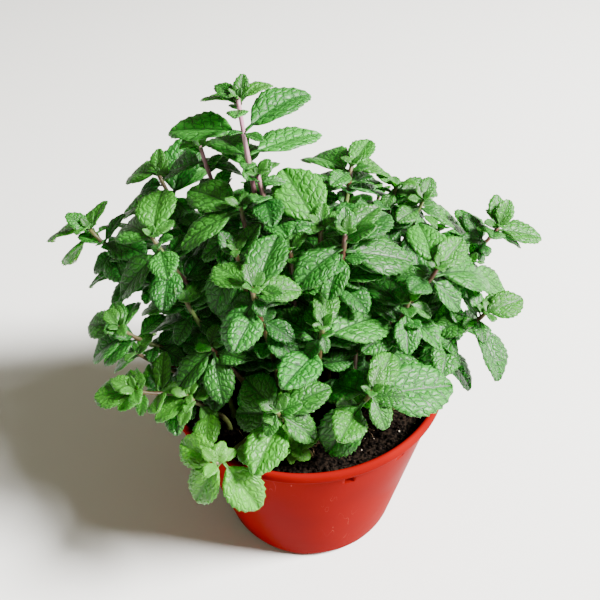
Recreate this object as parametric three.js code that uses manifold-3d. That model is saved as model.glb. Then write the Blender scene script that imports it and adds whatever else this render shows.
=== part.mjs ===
// A potted mint: a tapered plastic pot, potting soil, and leafy stems that stand in holes in the soil.
// Millimetres, +Z up. The origin is the middle of the pot's underside, which rests on the ground.
// -Y is the front of the plant.
import * as THREE from "three";
import { mergeVertices } from "three/addons/utils/BufferGeometryUtils.js";
import Module from "manifold-3d";

const wasm = await Module();
wasm.setup();

// Pot
const POT_HEIGHT = 110;
const RIM_RADIUS = 75;
const RIM_HEIGHT = 5;
const RIM_WIDTH = 3.2;
const BODY_TOP_RADIUS = 72.6;
const BASE_RADIUS = 51;
const WALL = 2;
const FLOOR = 3;
const POT_SIDES = 36;
const WINDOW = { turns: [-75, -51, 45, 69, 165, 189], width: 4, height: 5, depth: 1.3, drop: 2 };
const FOOT_GAP = { count: 6, first: -78, width: 28, height: 2, inner: 30 };
const DRAIN = { count: 6, radius: 4, ring: 38 };

// Soil
const SOIL_TOP = 102;
const SOIL_GAP = 0.3;
const SOIL_SIDES = 24;
const SOIL_ROUGHNESS = 1.1;
const HOLE_DEPTH = 11;
const HOLE_SIDES = 5;

// Leafy stems
const STEM_RADIUS = 1.6;
const STEM_TAPER = 0.4;
const STEM_BEND = 12;
const STEM_SAMPLES = 40;
const HOLE_RADIUS = STEM_RADIUS + 0.8;
const BLADE_THICKNESS = 1.1;
const PETIOLE_SHARE = 0.14;
const WIDTH_RATIO = 0.62;
const CROWN = { from: 185, height: 60, slimmer: 0.24 };
const STEM_LEAN = 0.6;
const SAMPLE_STEP = 3.8;
const LEAF_GAP = 3.2;
const OWN_LEAF_GAP = 3;
const STEM_GAP = 3.8;
const RANDOM_SEED = 20;

const COLOURS = { pot: 0xc8281e, soil: 0x1d1410, leaf: 0x3f8a3a };

// Each leafy stem: where it leaves the soil, where its tip is, its largest leaf, the compass turn of its
// top pair of leaves, how many pairs grow below by rule, and the leaves that stand out from the front, as
// [distance below the tip, compass direction in degrees, pitch in degrees, length]. Direction 0 is +X, 90 is +Y.
const STEMS = {
  top: { foot: [-14, 14], tip: [-26, 38, 245], leaf: 36, turn: 30, pairs: 3,
    seen: [[2, 130, 0, 30], [2, 35, 30, 20], [5, 130, 25, 20], [5, 70, 55, 16], [17, 160, 5, 42], [17, 35, 30, 42],
      [30, 125, 20, 34], [28, 35, 5, 44]] },
  top_left: { foot: [-22, 26], tip: [-48, 50, 215], leaf: 28, turn: 10, pairs: 3,
    seen: [[3, 125, 20, 18], [3, 80, 30, 18], [9, 155, -10, 32], [9, 35, 0, 14], [16, 90, 30, 22]] },
  left_shoulder: { foot: [-34, 30], tip: [-76, 70, 190], leaf: 30, turn: 80, pairs: 3,
    seen: [[2, 145, 0, 30], [2, 95, 45, 16], [6, 75, 10, 28], [8, 160, -5, 20], [15, 160, -5, 40], [15, 60, 20, 35],
      [17, 75, 30, 40]] },
  far_left: { foot: [-46, 12], tip: [-114, 49, 170], leaf: 26, turn: 40, pairs: 3,
    seen: [[1, 150, -5, 38], [2, 75, 35, 20], [6, 150, -25, 40], [5, 60, 10, 26], [12, 50, -10, 22],
      [20, 185, -20, 20], [32, 170, -15, 32]] },
  left: { foot: [-36, 4], tip: [-73, 17, 185], leaf: 32, turn: 70, pairs: 3,
    seen: [[2, 90, 35, 33], [2, 60, 15, 16], [4, 135, 20, 35], [9, 200, -30, 34], [11, 55, -5, 18]] },
  middle: { foot: [-14, -20], tip: [-22, -33, 190], leaf: 30, turn: 80, pairs: 2,
    seen: [[2, 130, 5, 28], [2, 5, 0, 22], [7, 70, 35, 35], [8, 225, -35, 28], [6, 295, -20, 10]] },
  front_middle: { foot: [4, -26], tip: [8, -38, 170], leaf: 34, turn: 60, pairs: 2,
    seen: [[2, 75, 35, 22], [3, 120, 20, 14], [4, 280, -30, 10], [8, 220, -30, 12], [9, 20, 0, 42], [13, 145, -10, 44]] },
  right_middle: { foot: [12, -6], tip: [20, -10, 200], leaf: 30, turn: 20, pairs: 2,
    seen: [[2, 100, 30, 18], [2, 40, 15, 24], [6, 160, -15, 19], [6, 55, 30, 34], [10, 5, -10, 36]] },
  heart: { foot: [4, 6], tip: [10, 6, 194], leaf: 34, turn: 30, pairs: 3,
    seen: [[3, 120, 20, 40], [3, 310, -20, 20], [14, 175, -15, 18]] },
  behind_middle: { foot: [0, 20], tip: [-19, 25, 212], leaf: 28, turn: 90, pairs: 2,
    seen: [[2, 125, 5, 22], [2, 55, 5, 16], [5, 100, 35, 22], [5, 0, -10, 14], [12, 125, 0, 38], [7, 60, 5, 42]] },
  back_right: { foot: [14, 26], tip: [28, 52, 200], leaf: 28, turn: 60, pairs: 2,
    seen: [[3, 60, 20, 26], [3, 30, 5, 30], [6, 120, 10, 42], [8, 120, -15, 38], [10, 20, 10, 38], [13, 30, -10, 38]] },
  right_back: { foot: [24, 16], tip: [52, 52, 186], leaf: 26, turn: 110, pairs: 3,
    seen: [[3, 10, 5, 26], [3, 210, -5, 16], [9, 300, -15, 16], [9, 0, -10, 22]] },
  right_shoulder: { foot: [34, 22], tip: [64, 39, 185], leaf: 30, turn: 70, pairs: 3,
    seen: [[2, 50, 50, 16], [2, 105, 10, 18], [5, 20, -5, 44], [7, 130, -5, 20]] },
  far_right: { foot: [48, 12], tip: [102, 27, 175], leaf: 26, turn: 60, pairs: 2,
    seen: [[2, 80, 50, 18], [2, 35, 60, 16], [3, 0, -5, 26], [5, 355, -10, 18], [15, 95, 15, 28], [15, 275, -20, 10]] },
  right: { foot: [32, -4], tip: [63, -12, 180], leaf: 34, turn: 40, pairs: 2,
    seen: [[3, 90, 25, 35], [3, 55, 10, 26], [6, 25, -5, 44], [8, 330, -25, 22], [11, 105, 0, 28]] },
  right_edge: { foot: [46, 4], tip: [87, 17, 160], leaf: 26, turn: 50, pairs: 2,
    seen: [[3, 355, -10, 38], [3, 30, 15, 26], [8, 285, -20, 16]] },
  low_right: { foot: [46, -16], tip: [90, -11, 150], leaf: 32, turn: 45, pairs: 2,
    seen: [[2, 70, 30, 23], [2, 10, 0, 26], [5, 185, -10, 24], [8, 300, -20, 32], [4, 100, 15, 20]] },
  rim_right: { foot: [44, -28], tip: [65, -9, 124], leaf: 24, turn: 20, pairs: 1,
    seen: [[2, 330, -25, 16], [2, 160, 5, 14], [7, 55, 0, 26], [7, 245, -10, 18]] },
  front_right: { foot: [18, -44], tip: [29, -55, 145], leaf: 34, turn: 30, pairs: 1,
    seen: [[2, 50, 30, 24], [3, 300, -25, 18], [5, 130, 10, 37], [6, 10, 0, 44], [9, 220, -30, 34]] },
  front_left: { foot: [-10, -44], tip: [-14, -60, 140], leaf: 30, turn: 60, pairs: 1,
    seen: [[1, 55, 40, 10], [2, 235, -25, 12], [4, 130, 10, 30], [5, 335, -20, 22], [8, 170, -15, 30], [8, 15, 0, 34]] },
  seedling: { foot: [0, -57], tip: [-11, -58, 112], leaf: 17, turn: 10, pairs: 0,
    seen: [[1, 180, 0, 12], [1, 330, 0, 12], [3, 265, -5, 8]] },
  over_rim: { foot: [-26, -48], tip: [-43, -72, 120], leaf: 30, turn: 30, pairs: 1,
    seen: [[2, 30, 20, 10], [3, 155, 5, 26], [5, 325, -30, 30], [5, 210, -30, 28], [16, 315, -10, 16]] },
  low_left: { foot: [-46, -24], tip: [-83, -36, 132], leaf: 28, turn: 60, pairs: 2,
    seen: [[2, 175, -5, 25], [2, 155, 15, 16], [5, 120, 20, 28], [6, 250, -15, 12], [5, 160, -5, 40], [12, 110, 0, 18]] },
  left_edge: { foot: [-54, -6], tip: [-91, -12, 152], leaf: 26, turn: 80, pairs: 2,
    seen: [[2, 160, 0, 25], [2, 120, 40, 14], [4, 90, 20, 22], [8, 185, -15, 28], [13, 210, -10, 24]] },
  left_under: { foot: [-54, -16], tip: [-84, -16, 138], leaf: 26, turn: 10, pairs: 1,
    seen: [[3, 165, -10, 23], [3, 55, 0, 14], [9, 220, -20, 20]] },
  front_left_high: { foot: [-30, -20], tip: [-45, -26, 150], leaf: 34, turn: 20, pairs: 2,
    seen: [[4, 290, -40, 28], [4, 210, -30, 26], [9, 160, 0, 25], [9, 40, 0, 18], [18, 225, -30, 30]] },
  inner_left: { foot: [-16, 4], tip: [-28, 17, 200], leaf: 34, turn: 130, pairs: 2,
    seen: [[2, 130, 10, 38], [3, 190, -10, 36], [4, 10, 5, 16], [12, 215, -20, 32]] },
  inner_middle: { foot: [-22, -6], tip: [-31, 1, 186], leaf: 32, turn: 60, pairs: 2,
    seen: [[6, 225, -30, 30], [6, 70, 10, 32]] },
  inner_right: { foot: [-4, -10], tip: [-5, -1, 186], leaf: 32, turn: 140, pairs: 2,
    seen: [[4, 115, 10, 38], [4, 315, -15, 20], [12, 195, -20, 18]] },
  left_dark: { foot: [-40, -8], tip: [-58, -3, 160], leaf: 32, turn: 40, pairs: 3,
    seen: [[4, 150, -5, 34], [4, 80, 25, 18], [9, 235, -30, 18], [9, 50, 5, 18], [14, 150, -10, 40]] },
  dark_heart: { foot: [-38, -30], tip: [-50, -14, 138], leaf: 32, turn: 70, pairs: 2,
    seen: [[4, 105, 30, 36], [6, 160, -10, 28], [10, 215, -25, 30]] },
  front_left_low: { foot: [-40, -38], tip: [-58, -39, 130], leaf: 30, turn: 60, pairs: 1,
    seen: [[3, 245, -25, 14], [3, 185, -10, 21], [6, 70, 0, 14], [8, 305, -25, 16]] },
  right_fill: { foot: [32, -22], tip: [50, -17, 165], leaf: 30, turn: 30, pairs: 3,
    seen: [[6, 125, 0, 40], [2, 345, -10, 14], [6, 270, -35, 22], [9, 170, -20, 16], [9, 40, 10, 26]] },
  front_fill: { foot: [22, -30], tip: [25, -23, 140], leaf: 30, turn: 100, pairs: 2,
    seen: [[5, 20, 0, 26], [5, 235, -20, 18], [12, 50, 5, 38]] },
  back_left: { foot: [-30, 44], tip: [-66, 84, 152], leaf: 30, turn: 30, pairs: 3, seen: [] },
  back: { foot: [-10, 46], tip: [-28, 94, 166], leaf: 32, turn: 60, pairs: 3, seen: [] },
  back_middle: { foot: [10, 44], tip: [12, 98, 160], leaf: 32, turn: 20, pairs: 3, seen: [] },
  back_shoulder: { foot: [28, 38], tip: [48, 88, 158], leaf: 30, turn: 50, pairs: 3, seen: [] },
  back_edge: { foot: [42, 34], tip: [80, 62, 150], leaf: 28, turn: 80, pairs: 3, seen: [] },
  back_inner: { foot: [-4, 38], tip: [4, 62, 180], leaf: 32, turn: 40, pairs: 2, seen: [] },
};

// Pairs of leaves stand this far below the tip, as shares of the stem's largest leaf.
const PAIR_PLACES = [0.08, 0.22, 0.52, 0.95, 1.45, 2.0, 2.6];
const LOWER_LENGTHS = [1, 0.95, 0.88, 0.8];
const LOWER_PITCH = -8;

// When a leaf would touch another, it is bent by these steps in turn: [direction, pitch, size].
const BENDS = [
  [0, 0, 1], [0, 12, 1], [0, -12, 1], [13, 0, 1], [-13, 0, 1], [13, 12, 0.95], [-13, 12, 0.95], [13, -12, 0.95],
  [-13, -12, 0.95], [0, 24, 0.9], [0, -24, 0.9], [26, 0, 0.88], [-26, 0, 0.88], [0, 36, 0.8], [26, 24, 0.8],
  [-26, 24, 0.8], [26, -20, 0.78], [-26, -20, 0.78], [0, 20, 0.66], [0, -20, 0.62], [42, 0, 0.7], [-42, 0, 0.7],
  [42, 24, 0.6], [-42, 24, 0.6], [60, -12, 0.55], [-60, -12, 0.55],
];

// A small generator of evenly spread numbers from 0 to 1, the same on every run.
let randomState = RANDOM_SEED;
function random() {
  randomState = (randomState * 1664525 + 1013904223) % 4294967296;
  return randomState / 4294967296;
}

function spread(low, high) {
  return low + (high - low) * random();
}

function vector(x, y, z) {
  return new THREE.Vector3(x, y, z);
}

function toSolid(geometry) {
  const bare = geometry.index ? geometry.toNonIndexed() : geometry.clone();
  bare.deleteAttribute("normal");
  bare.deleteAttribute("uv");
  const merged = mergeVertices(bare, 1e-4);
  return new wasm.Manifold(
    new wasm.Mesh({
      numProp: 3,
      vertProperties: new Float32Array(merged.attributes.position.array),
      triVerts: new Uint32Array(merged.index.array),
    }),
  );
}

function toGeometry(solid) {
  const mesh = solid.getMesh();
  const positions = new Float32Array(mesh.numVert * 3);
  for (let i = 0; i < mesh.numVert; i++) {
    positions.set(mesh.vertProperties.subarray(i * mesh.numProp, i * mesh.numProp + 3), i * 3);
  }
  const geometry = new THREE.BufferGeometry();
  geometry.setAttribute("position", new THREE.BufferAttribute(positions, 3));
  geometry.setIndex(new THREE.BufferAttribute(mesh.triVerts, 1));
  geometry.computeVertexNormals();
  return geometry;
}

function namedMesh(name, solid, colour, roughness) {
  const material = new THREE.MeshStandardMaterial({ color: colour, roughness, metalness: 0 });
  const mesh = new THREE.Mesh(toGeometry(solid), material);
  mesh.name = name;
  return mesh;
}

// A profile of [radius, height] points turned about the Z axis.
function turned(profile, sides) {
  const lathe = new THREE.LatheGeometry(profile.map(([r, z]) => new THREE.Vector2(r, z)), sides);
  return toSolid(lathe.rotateX(Math.PI / 2));
}

function boxAt(size, place, turnDegrees) {
  const box = new THREE.BoxGeometry(...size).translate(...place).rotateZ(THREE.MathUtils.degToRad(turnDegrees));
  return toSolid(box);
}

function bodyRadiusAt(z) {
  const share = z / (POT_HEIGHT - RIM_HEIGHT);
  return BASE_RADIUS + (BODY_TOP_RADIUS - BASE_RADIUS) * share;
}

function potProfile() {
  const rimInner = RIM_RADIUS - RIM_WIDTH;
  const underRim = POT_HEIGHT - RIM_HEIGHT;
  const edge = 2.5;
  const insideFloor = FLOOR + edge;
  return [
    [0, 0],
    [BASE_RADIUS - edge, 0],
    [BASE_RADIUS, edge],
    [BODY_TOP_RADIUS, underRim],
    [RIM_RADIUS, underRim],
    [RIM_RADIUS, POT_HEIGHT - 1.2],
    [RIM_RADIUS - 1.2, POT_HEIGHT],
    [rimInner + 0.7, POT_HEIGHT],
    [rimInner, POT_HEIGHT - 0.9],
    [bodyRadiusAt(underRim) - WALL, underRim],
    [bodyRadiusAt(insideFloor) - WALL, insideFloor],
    [bodyRadiusAt(FLOOR) - WALL - edge, FLOOR],
    [0, FLOOR],
  ];
}

function makePot() {
  let pot = turned(potProfile(), POT_SIDES);
  for (const turn of WINDOW.turns) {
    const top = POT_HEIGHT - RIM_HEIGHT - WINDOW.drop;
    const middle = top - WINDOW.height / 2;
    const reach = 6;
    const place = [bodyRadiusAt(middle) - WINDOW.depth + reach / 2, 0, middle];
    pot = pot.subtract(boxAt([reach, WINDOW.width, WINDOW.height], place, turn));
  }
  for (let i = 0; i < FOOT_GAP.count; i++) {
    const turn = FOOT_GAP.first + (360 / FOOT_GAP.count) * i;
    const length = BASE_RADIUS + 4 - FOOT_GAP.inner;
    const place = [FOOT_GAP.inner + length / 2, 0, 0];
    pot = pot.subtract(boxAt([length, FOOT_GAP.width, FOOT_GAP.height * 2], place, turn));
    const drain = new THREE.CylinderGeometry(DRAIN.radius, DRAIN.radius, FLOOR * 4, 10)
      .rotateX(Math.PI / 2)
      .translate(DRAIN.ring, 0, 0)
      .rotateZ(THREE.MathUtils.degToRad(turn));
    pot = pot.subtract(toSolid(drain));
  }
  return pot;
}

// Crumbly ground: a few waves of different length, added together.
function soilBump(x, y) {
  return Math.sin(x * 0.31 + y * 0.12) + 0.7 * Math.sin(y * 0.37 - x * 0.21) + 0.5 * Math.sin((x + y) * 0.53);
}

function makeSoil() {
  const gap = WALL + SOIL_GAP;
  const bottom = FLOOR + SOIL_GAP;
  const shoulder = bottom + 2.5;
  const topRadius = bodyRadiusAt(SOIL_TOP) - gap;
  const profile = [[0, bottom], [bodyRadiusAt(bottom) - gap - 2.9, bottom], [bodyRadiusAt(shoulder) - gap, shoulder]];
  for (const share of [1, 0.8, 0.58, 0.32, 0]) {
    profile.push([topRadius * share, SOIL_TOP]);
  }
  const lathe = new THREE.LatheGeometry(profile.map(([r, z]) => new THREE.Vector2(r, z)), SOIL_SIDES);
  lathe.rotateX(Math.PI / 2);
  const place = lathe.attributes.position;
  for (let i = 0; i < place.count; i++) {
    const x = place.getX(i);
    const y = place.getY(i);
    if (place.getZ(i) > SOIL_TOP - 0.1 && Math.hypot(x, y) < topRadius - 1) {
      place.setZ(i, SOIL_TOP + SOIL_ROUGHNESS * 0.5 * soilBump(x, y));
    }
  }
  let soil = toSolid(lathe);
  for (const { foot } of Object.values(STEMS)) {
    const hole = new THREE.CylinderGeometry(HOLE_RADIUS, HOLE_RADIUS, HOLE_DEPTH * 2, HOLE_SIDES)
      .rotateX(Math.PI / 2)
      .translate(foot[0], foot[1], SOIL_TOP);
    soil = soil.subtract(toSolid(hole));
  }
  return soil;
}

// A stem leaves the soil upright and curves out to its tip.
function stemCurve({ foot, tip }) {
  const start = vector(foot[0], foot[1], SOIL_TOP + SOIL_ROUGHNESS * 1.5);
  const end = vector(...tip);
  const reach = end.clone().sub(start);
  const length = reach.length();
  const rise = vector(start.x, start.y, start.z + length * 0.4);
  const lean = reach.clone().normalize().add(vector(0, 0, 0.25)).normalize();
  const approach = end.clone().addScaledVector(lean, -length * 0.36);
  return new THREE.CubicBezierCurve3(start, rise, approach, end);
}

// A stem's sections, closer together the more it bends, and points along it with the length walked to each.
function stemLine(plan) {
  const curve = stemCurve(plan);
  const turn = THREE.MathUtils.radToDeg(vector(0, 0, 1).angleTo(curve.getTangent(1)));
  const steps = Math.max(3, Math.ceil(turn / STEM_BEND));
  const sections = [];
  for (let i = 0; i <= steps; i++) {
    const along = i ? curve.getTangentAt(i / steps) : vector(0, 0, 1);
    const radius = STEM_RADIUS * (1 - (STEM_TAPER * i) / steps);
    sections.push({ centre: curve.getPointAt(i / steps), along, radius });
  }
  const points = [sections[0].centre];
  const walked = [0];
  for (let i = 1; i <= STEM_SAMPLES; i++) {
    const place = (i * steps) / STEM_SAMPLES;
    const section = Math.min(Math.floor(place), steps - 1);
    points.push(sections[section].centre.clone().lerp(sections[section + 1].centre, place - section));
    walked.push(walked[i - 1] + points[i].distanceTo(points[i - 1]));
  }
  return { sections, points, walked };
}

// The place and direction on a stem, a given length below its tip.
function belowTip({ points, walked }, distance) {
  const target = walked[STEM_SAMPLES] - distance;
  let i = 1;
  while (i < STEM_SAMPLES && walked[i] < target) {
    i += 1;
  }
  const share = (target - walked[i - 1]) / (walked[i] - walked[i - 1]);
  const place = points[i - 1].clone().lerp(points[i], share);
  const along = points[i].clone().sub(points[i - 1]).normalize();
  return { place, along };
}

// Half the blade's width at a share of its length, for a half width of 1: oval, widest just below the middle.
function bladeOutline(share) {
  return Math.pow(Math.max(0, Math.sin(Math.PI * Math.pow(share, 0.88))), 0.78);
}

function leafWidthAt(share) {
  if (share <= PETIOLE_SHARE) {
    return 0.075;
  }
  return Math.max(0.075, bladeOutline((share - PETIOLE_SHARE) / (1 - PETIOLE_SHARE)));
}

// A leaf's own frame: forward along the midrib, up out of its upper face, and side across it.
function leafFrame(place, along, direction, pitch, roll) {
  const turn = THREE.MathUtils.degToRad(direction);
  const lift = THREE.MathUtils.degToRad(pitch);
  const forward = vector(Math.cos(turn) * Math.cos(lift), Math.sin(turn) * Math.cos(lift), Math.sin(lift));
  const light = vector(0.05, -0.3, 0.8).addScaledVector(along, STEM_LEAN);
  const up = light.addScaledVector(forward, -light.dot(forward)).normalize();
  const side = up.clone().cross(forward);
  const tilt = THREE.MathUtils.degToRad(roll);
  const rolledUp = up.clone().multiplyScalar(Math.cos(tilt)).addScaledVector(side, Math.sin(tilt));
  const rolledSide = rolledUp.clone().cross(forward);
  const base = place.clone();
  return { base, forward, up: rolledUp, side: rolledSide };
}

// A point of the leaf's middle surface: share runs from the root to the tip, across from -1 to 1.
function leafPoint(leaf, share, across, width = leafWidthAt(share)) {
  const { frame, length, arch, fold } = leaf;
  const bend = arch * share;
  const forward = (length * Math.sin(bend)) / arch;
  const drop = (length * (1 - Math.cos(bend))) / arch;
  const half = width * leaf.halfWidth * across;
  const rise = Math.abs(half) * Math.sin(fold);
  const out = half * Math.cos(fold);
  return frame.base
    .clone()
    .addScaledVector(frame.forward, forward + rise * Math.sin(bend))
    .addScaledVector(frame.up, rise * Math.cos(bend) - drop)
    .addScaledVector(frame.side, out);
}

// Points spread over a leaf, for telling whether it is clear of the others.
function leafSamples(leaf) {
  const rows = Math.max(2, Math.round(leaf.length / SAMPLE_STEP));
  const columns = Math.max(1, Math.round(leaf.halfWidth / SAMPLE_STEP));
  const samples = [];
  for (let row = 1; row <= rows; row++) {
    const share = PETIOLE_SHARE + ((1 - PETIOLE_SHARE) * row) / rows;
    for (let column = -columns; column <= columns; column++) {
      samples.push(leafPoint(leaf, share, column / columns));
    }
  }
  return samples;
}

// Clear of the soil, the pot's wall and rim, and the ground.
function clearOfPot(point) {
  const radius = Math.hypot(point.x, point.y);
  if (radius < RIM_RADIUS - 7) {
    return point.z > SOIL_TOP + 3;
  }
  return radius > RIM_RADIUS + 3 ? point.z > 40 : point.z > POT_HEIGHT + 2.5;
}

function tooClose(samples, others, gap) {
  const limit = gap * gap;
  return samples.some((a) => others.some((b) => a.distanceToSquared(b) < limit));
}

function fits(leaf, stem, stems) {
  const samples = leafSamples(leaf);
  if (!samples.every(clearOfPot)) {
    return null;
  }
  const outer = samples.slice(Math.ceil(samples.length * 0.28));
  for (const other of stems) {
    const own = other === stem;
    const leafTest = own ? outer : samples;
    const tested = leafTest.filter((p) => other.box.distanceToPoint(p) < LEAF_GAP + 1);
    if (!tested.length) {
      continue;
    }
    if (!own && tooClose(tested, other.line.points, STEM_GAP)) {
      return null;
    }
    if (tooClose(tested, own ? other.outerSamples : other.samples, own ? OWN_LEAF_GAP : LEAF_GAP)) {
      return null;
    }
  }
  return { samples, outer };
}

// Grows one leaf on a stem, bent clear of what is there, or leaves it out where nothing fits.
function growLeaf(stem, stems, below, direction, pitch, length) {
  const { place, along } = belowTip(stem.line, below);
  const roll = spread(-12, 12);
  const fold = THREE.MathUtils.degToRad(spread(4, 20));
  const arch = spread(0.25, 0.85);
  const slimness = 1 - CROWN.slimmer * THREE.MathUtils.clamp((place.z - CROWN.from) / CROWN.height, 0, 1);
  const width = WIDTH_RATIO * slimness * spread(0.92, 1.12);
  for (const [turn, lift, size] of BENDS) {
    const leaf = {
      frame: leafFrame(place, along, direction + turn, pitch + lift, roll),
      length: length * size,
      halfWidth: (length * size * width) / 2,
      arch,
      fold,
    };
    const room = fits(leaf, stem, stems);
    if (room) {
      stem.leaves.push(leaf);
      stem.samples.push(...room.samples);
      stem.outerSamples.push(...room.outer);
      room.samples.forEach((p) => stem.box.expandByPoint(p));
      return;
    }
  }
}

// The leaves that show come first, so that they keep their places; the lower pairs then fill the rest.
function growPlant() {
  const stems = Object.entries(STEMS).map(([name, plan]) => {
    const line = stemLine(plan);
    const box = new THREE.Box3().setFromPoints(line.points);
    return { name, plan, line, box, leaves: [], samples: [], outerSamples: [] };
  });
  for (const stem of stems) {
    for (const [below, direction, pitch, length] of stem.plan.seen) {
      growLeaf(stem, stems, below, direction, pitch, length);
    }
  }
  for (const stem of stems) {
    const { leaf, turn, seen, pairs } = stem.plan;
    const deepest = Math.max(0, ...seen.map(([below]) => below));
    const first = PAIR_PLACES.findIndex((place) => place * leaf > deepest + 4);
    for (let pair = first; pair < Math.min(first + pairs, PAIR_PLACES.length); pair++) {
      const below = PAIR_PLACES[pair] * leaf;
      const room = stem.line.walked[STEM_SAMPLES] - below;
      for (const side of [0, 180]) {
        const direction = turn + side + 90 * (pair % 2) + spread(-14, 14);
        const length = leaf * LOWER_LENGTHS[Math.min(pair - first, 3)] * spread(0.85, 1.05);
        if (room > 12) {
          growLeaf(stem, stems, below, direction, LOWER_PITCH + spread(-8, 12), length);
        }
      }
    }
  }
  return stems;
}

// The toothed outline of a blade, as [share of the length, share of the smooth outline's width]. Each tooth
// rises slowly and drops back sharply, and shorter leaves have fewer. The root is a point inside the stem.
const NOTCH = 0.88;
const COLLAR = 0.08;
const BLADES = [
  { longest: 12, midrib: [0, COLLAR, 1], edge: [[0, 0], [COLLAR, 1], [0.5, 1.04], [1, 0]] },
  {
    longest: 22,
    midrib: [0, COLLAR, 1],
    edge: [[0, 0], [COLLAR, 1], [0.36, 1], [0.64, 1.05], [0.69, NOTCH], [1, 0]],
  },
  {
    longest: 31,
    midrib: [0, COLLAR, 0.5, 1],
    edge: [[0, 0], [COLLAR, 1], [0.3, 0.95], [0.52, 1.03], [0.57, NOTCH], [0.78, 1.05], [1, 0]],
  },
  {
    longest: 99,
    midrib: [0, COLLAR, 0.5, 1],
    edge: [[0, 0], [COLLAR, 1], [0.26, 0.9], [0.44, 1.03], [0.48, NOTCH], [0.66, 1.05], [0.7, NOTCH],
      [0.85, 1.06], [1, 0]],
  },
];

// A thin closed blade: both faces share the outline and the same triangles, and the midrib stands apart.
function bladeSolid(leaf) {
  const { midrib, edge } = BLADES.find(({ longest }) => leaf.length < longest);
  const positions = [];
  const faces = [];
  const add = (point) => positions.push(point.x, point.y, point.z) / 3 - 1;
  const ends = [add(leafPoint(leaf, 0, 0)), add(leafPoint(leaf, 1, 0))];
  const midribs = [1, -1].map((face) =>
    midrib.map((share) => {
      const rise = (face * BLADE_THICKNESS) / 2;
      return ends[[0, 1].indexOf(share)] ?? add(leafPoint(leaf, share, 0).addScaledVector(leaf.frame.up, rise));
    }),
  );
  const edges = [1, -1].map((side) =>
    edge.map(([share, scale]) => {
      const width = leafWidthAt(share) * scale;
      return ends[[0, 1].indexOf(share)] ?? add(leafPoint(leaf, share, side, width));
    }),
  );
  for (const side of [0, 1]) {
    for (const face of [0, 1]) {
      const push = (a, b, c) => {
        if (a !== b && b !== c && a !== c) {
          faces.push(...(side === face ? [a, c, b] : [a, b, c]));
        }
      };
      let m = 0;
      let e = 0;
      while (m < midrib.length - 1 || e < edge.length - 1) {
        const nextMidrib = midrib[m + 1] ?? 2;
        const nextEdge = edge[e + 1]?.[0] ?? 2;
        if (nextEdge <= nextMidrib) {
          push(midribs[face][m], edges[side][e], edges[side][e + 1]);
          e += 1;
        } else {
          push(edges[side][e], midribs[face][m + 1], midribs[face][m]);
          m += 1;
        }
      }
    }
  }
  return new wasm.Manifold(
    new wasm.Mesh({ numProp: 3, vertProperties: new Float32Array(positions), triVerts: new Uint32Array(faces) }),
  );
}

// Mint stems are square in section. The root stands straight in its hole, and the stem thins towards its tip.
function stemSolid({ plan, line }) {
  const root = vector(plan.foot[0], plan.foot[1], SOIL_TOP - HOLE_DEPTH + SOIL_GAP);
  const sections = [{ centre: root, along: vector(0, 0, 1), radius: STEM_RADIUS }, ...line.sections];
  const positions = [];
  const faces = [];
  let side = vector(1, 0, 0);
  for (const { centre, along, radius } of sections) {
    side = side.clone().addScaledVector(along, -side.dot(along)).normalize();
    const across = along.clone().cross(side);
    for (const [a, b] of [[1, 0], [0, 1], [-1, 0], [0, -1]]) {
      const corner = centre.clone().addScaledVector(side, a * radius).addScaledVector(across, b * radius);
      positions.push(corner.x, corner.y, corner.z);
    }
  }
  for (let ring = 0; ring < sections.length - 1; ring++) {
    for (let corner = 0; corner < 4; corner++) {
      const here = ring * 4 + corner;
      const next = ring * 4 + ((corner + 1) % 4);
      faces.push(here, next, next + 4, here, next + 4, here + 4);
    }
  }
  const end = (sections.length - 1) * 4;
  faces.push(2, 1, 0, 3, 2, 0, end, end + 1, end + 2, end, end + 2, end + 3);
  return new wasm.Manifold(
    new wasm.Mesh({ numProp: 3, vertProperties: new Float32Array(positions), triVerts: new Uint32Array(faces) }),
  );
}

function makeLeafyStem(stem) {
  let solid = stemSolid(stem);
  for (const leaf of stem.leaves) {
    solid = solid.add(bladeSolid(leaf));
  }
  return solid;
}

const plant = new THREE.Group();
plant.add(namedMesh("pot", makePot(), COLOURS.pot, 0.35));
plant.add(namedMesh("soil", makeSoil(), COLOURS.soil, 0.95));
for (const stem of growPlant()) {
  plant.add(namedMesh(`leafy_stem_${stem.name}`, makeLeafyStem(stem), COLOURS.leaf, 0.6));
}

export default plant;
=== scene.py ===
import math

import bmesh
import bpy
import numpy as np
from mathutils import Matrix, Vector, noise


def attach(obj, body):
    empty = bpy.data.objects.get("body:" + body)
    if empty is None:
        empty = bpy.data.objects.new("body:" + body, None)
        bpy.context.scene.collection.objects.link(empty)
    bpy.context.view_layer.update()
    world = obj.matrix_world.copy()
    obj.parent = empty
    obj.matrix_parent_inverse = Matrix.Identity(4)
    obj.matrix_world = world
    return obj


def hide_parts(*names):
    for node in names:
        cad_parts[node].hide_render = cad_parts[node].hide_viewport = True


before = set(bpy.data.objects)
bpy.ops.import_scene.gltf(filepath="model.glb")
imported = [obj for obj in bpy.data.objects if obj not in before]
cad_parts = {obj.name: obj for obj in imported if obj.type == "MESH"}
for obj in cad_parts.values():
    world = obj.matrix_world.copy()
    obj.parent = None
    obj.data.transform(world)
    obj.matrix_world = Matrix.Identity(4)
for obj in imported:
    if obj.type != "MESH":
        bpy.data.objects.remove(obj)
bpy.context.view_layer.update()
print("frame loaded")

mm = 0.001  # shapes are worked out in mm and written in metres


def unit(vector):
    return vector / np.linalg.norm(vector)


def dress(piece, materials, node):
    bpy.context.collection.objects.link(piece)
    for material in materials:
        piece.data.materials.append(material)
    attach(piece, "root")
    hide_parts(node)


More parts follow.
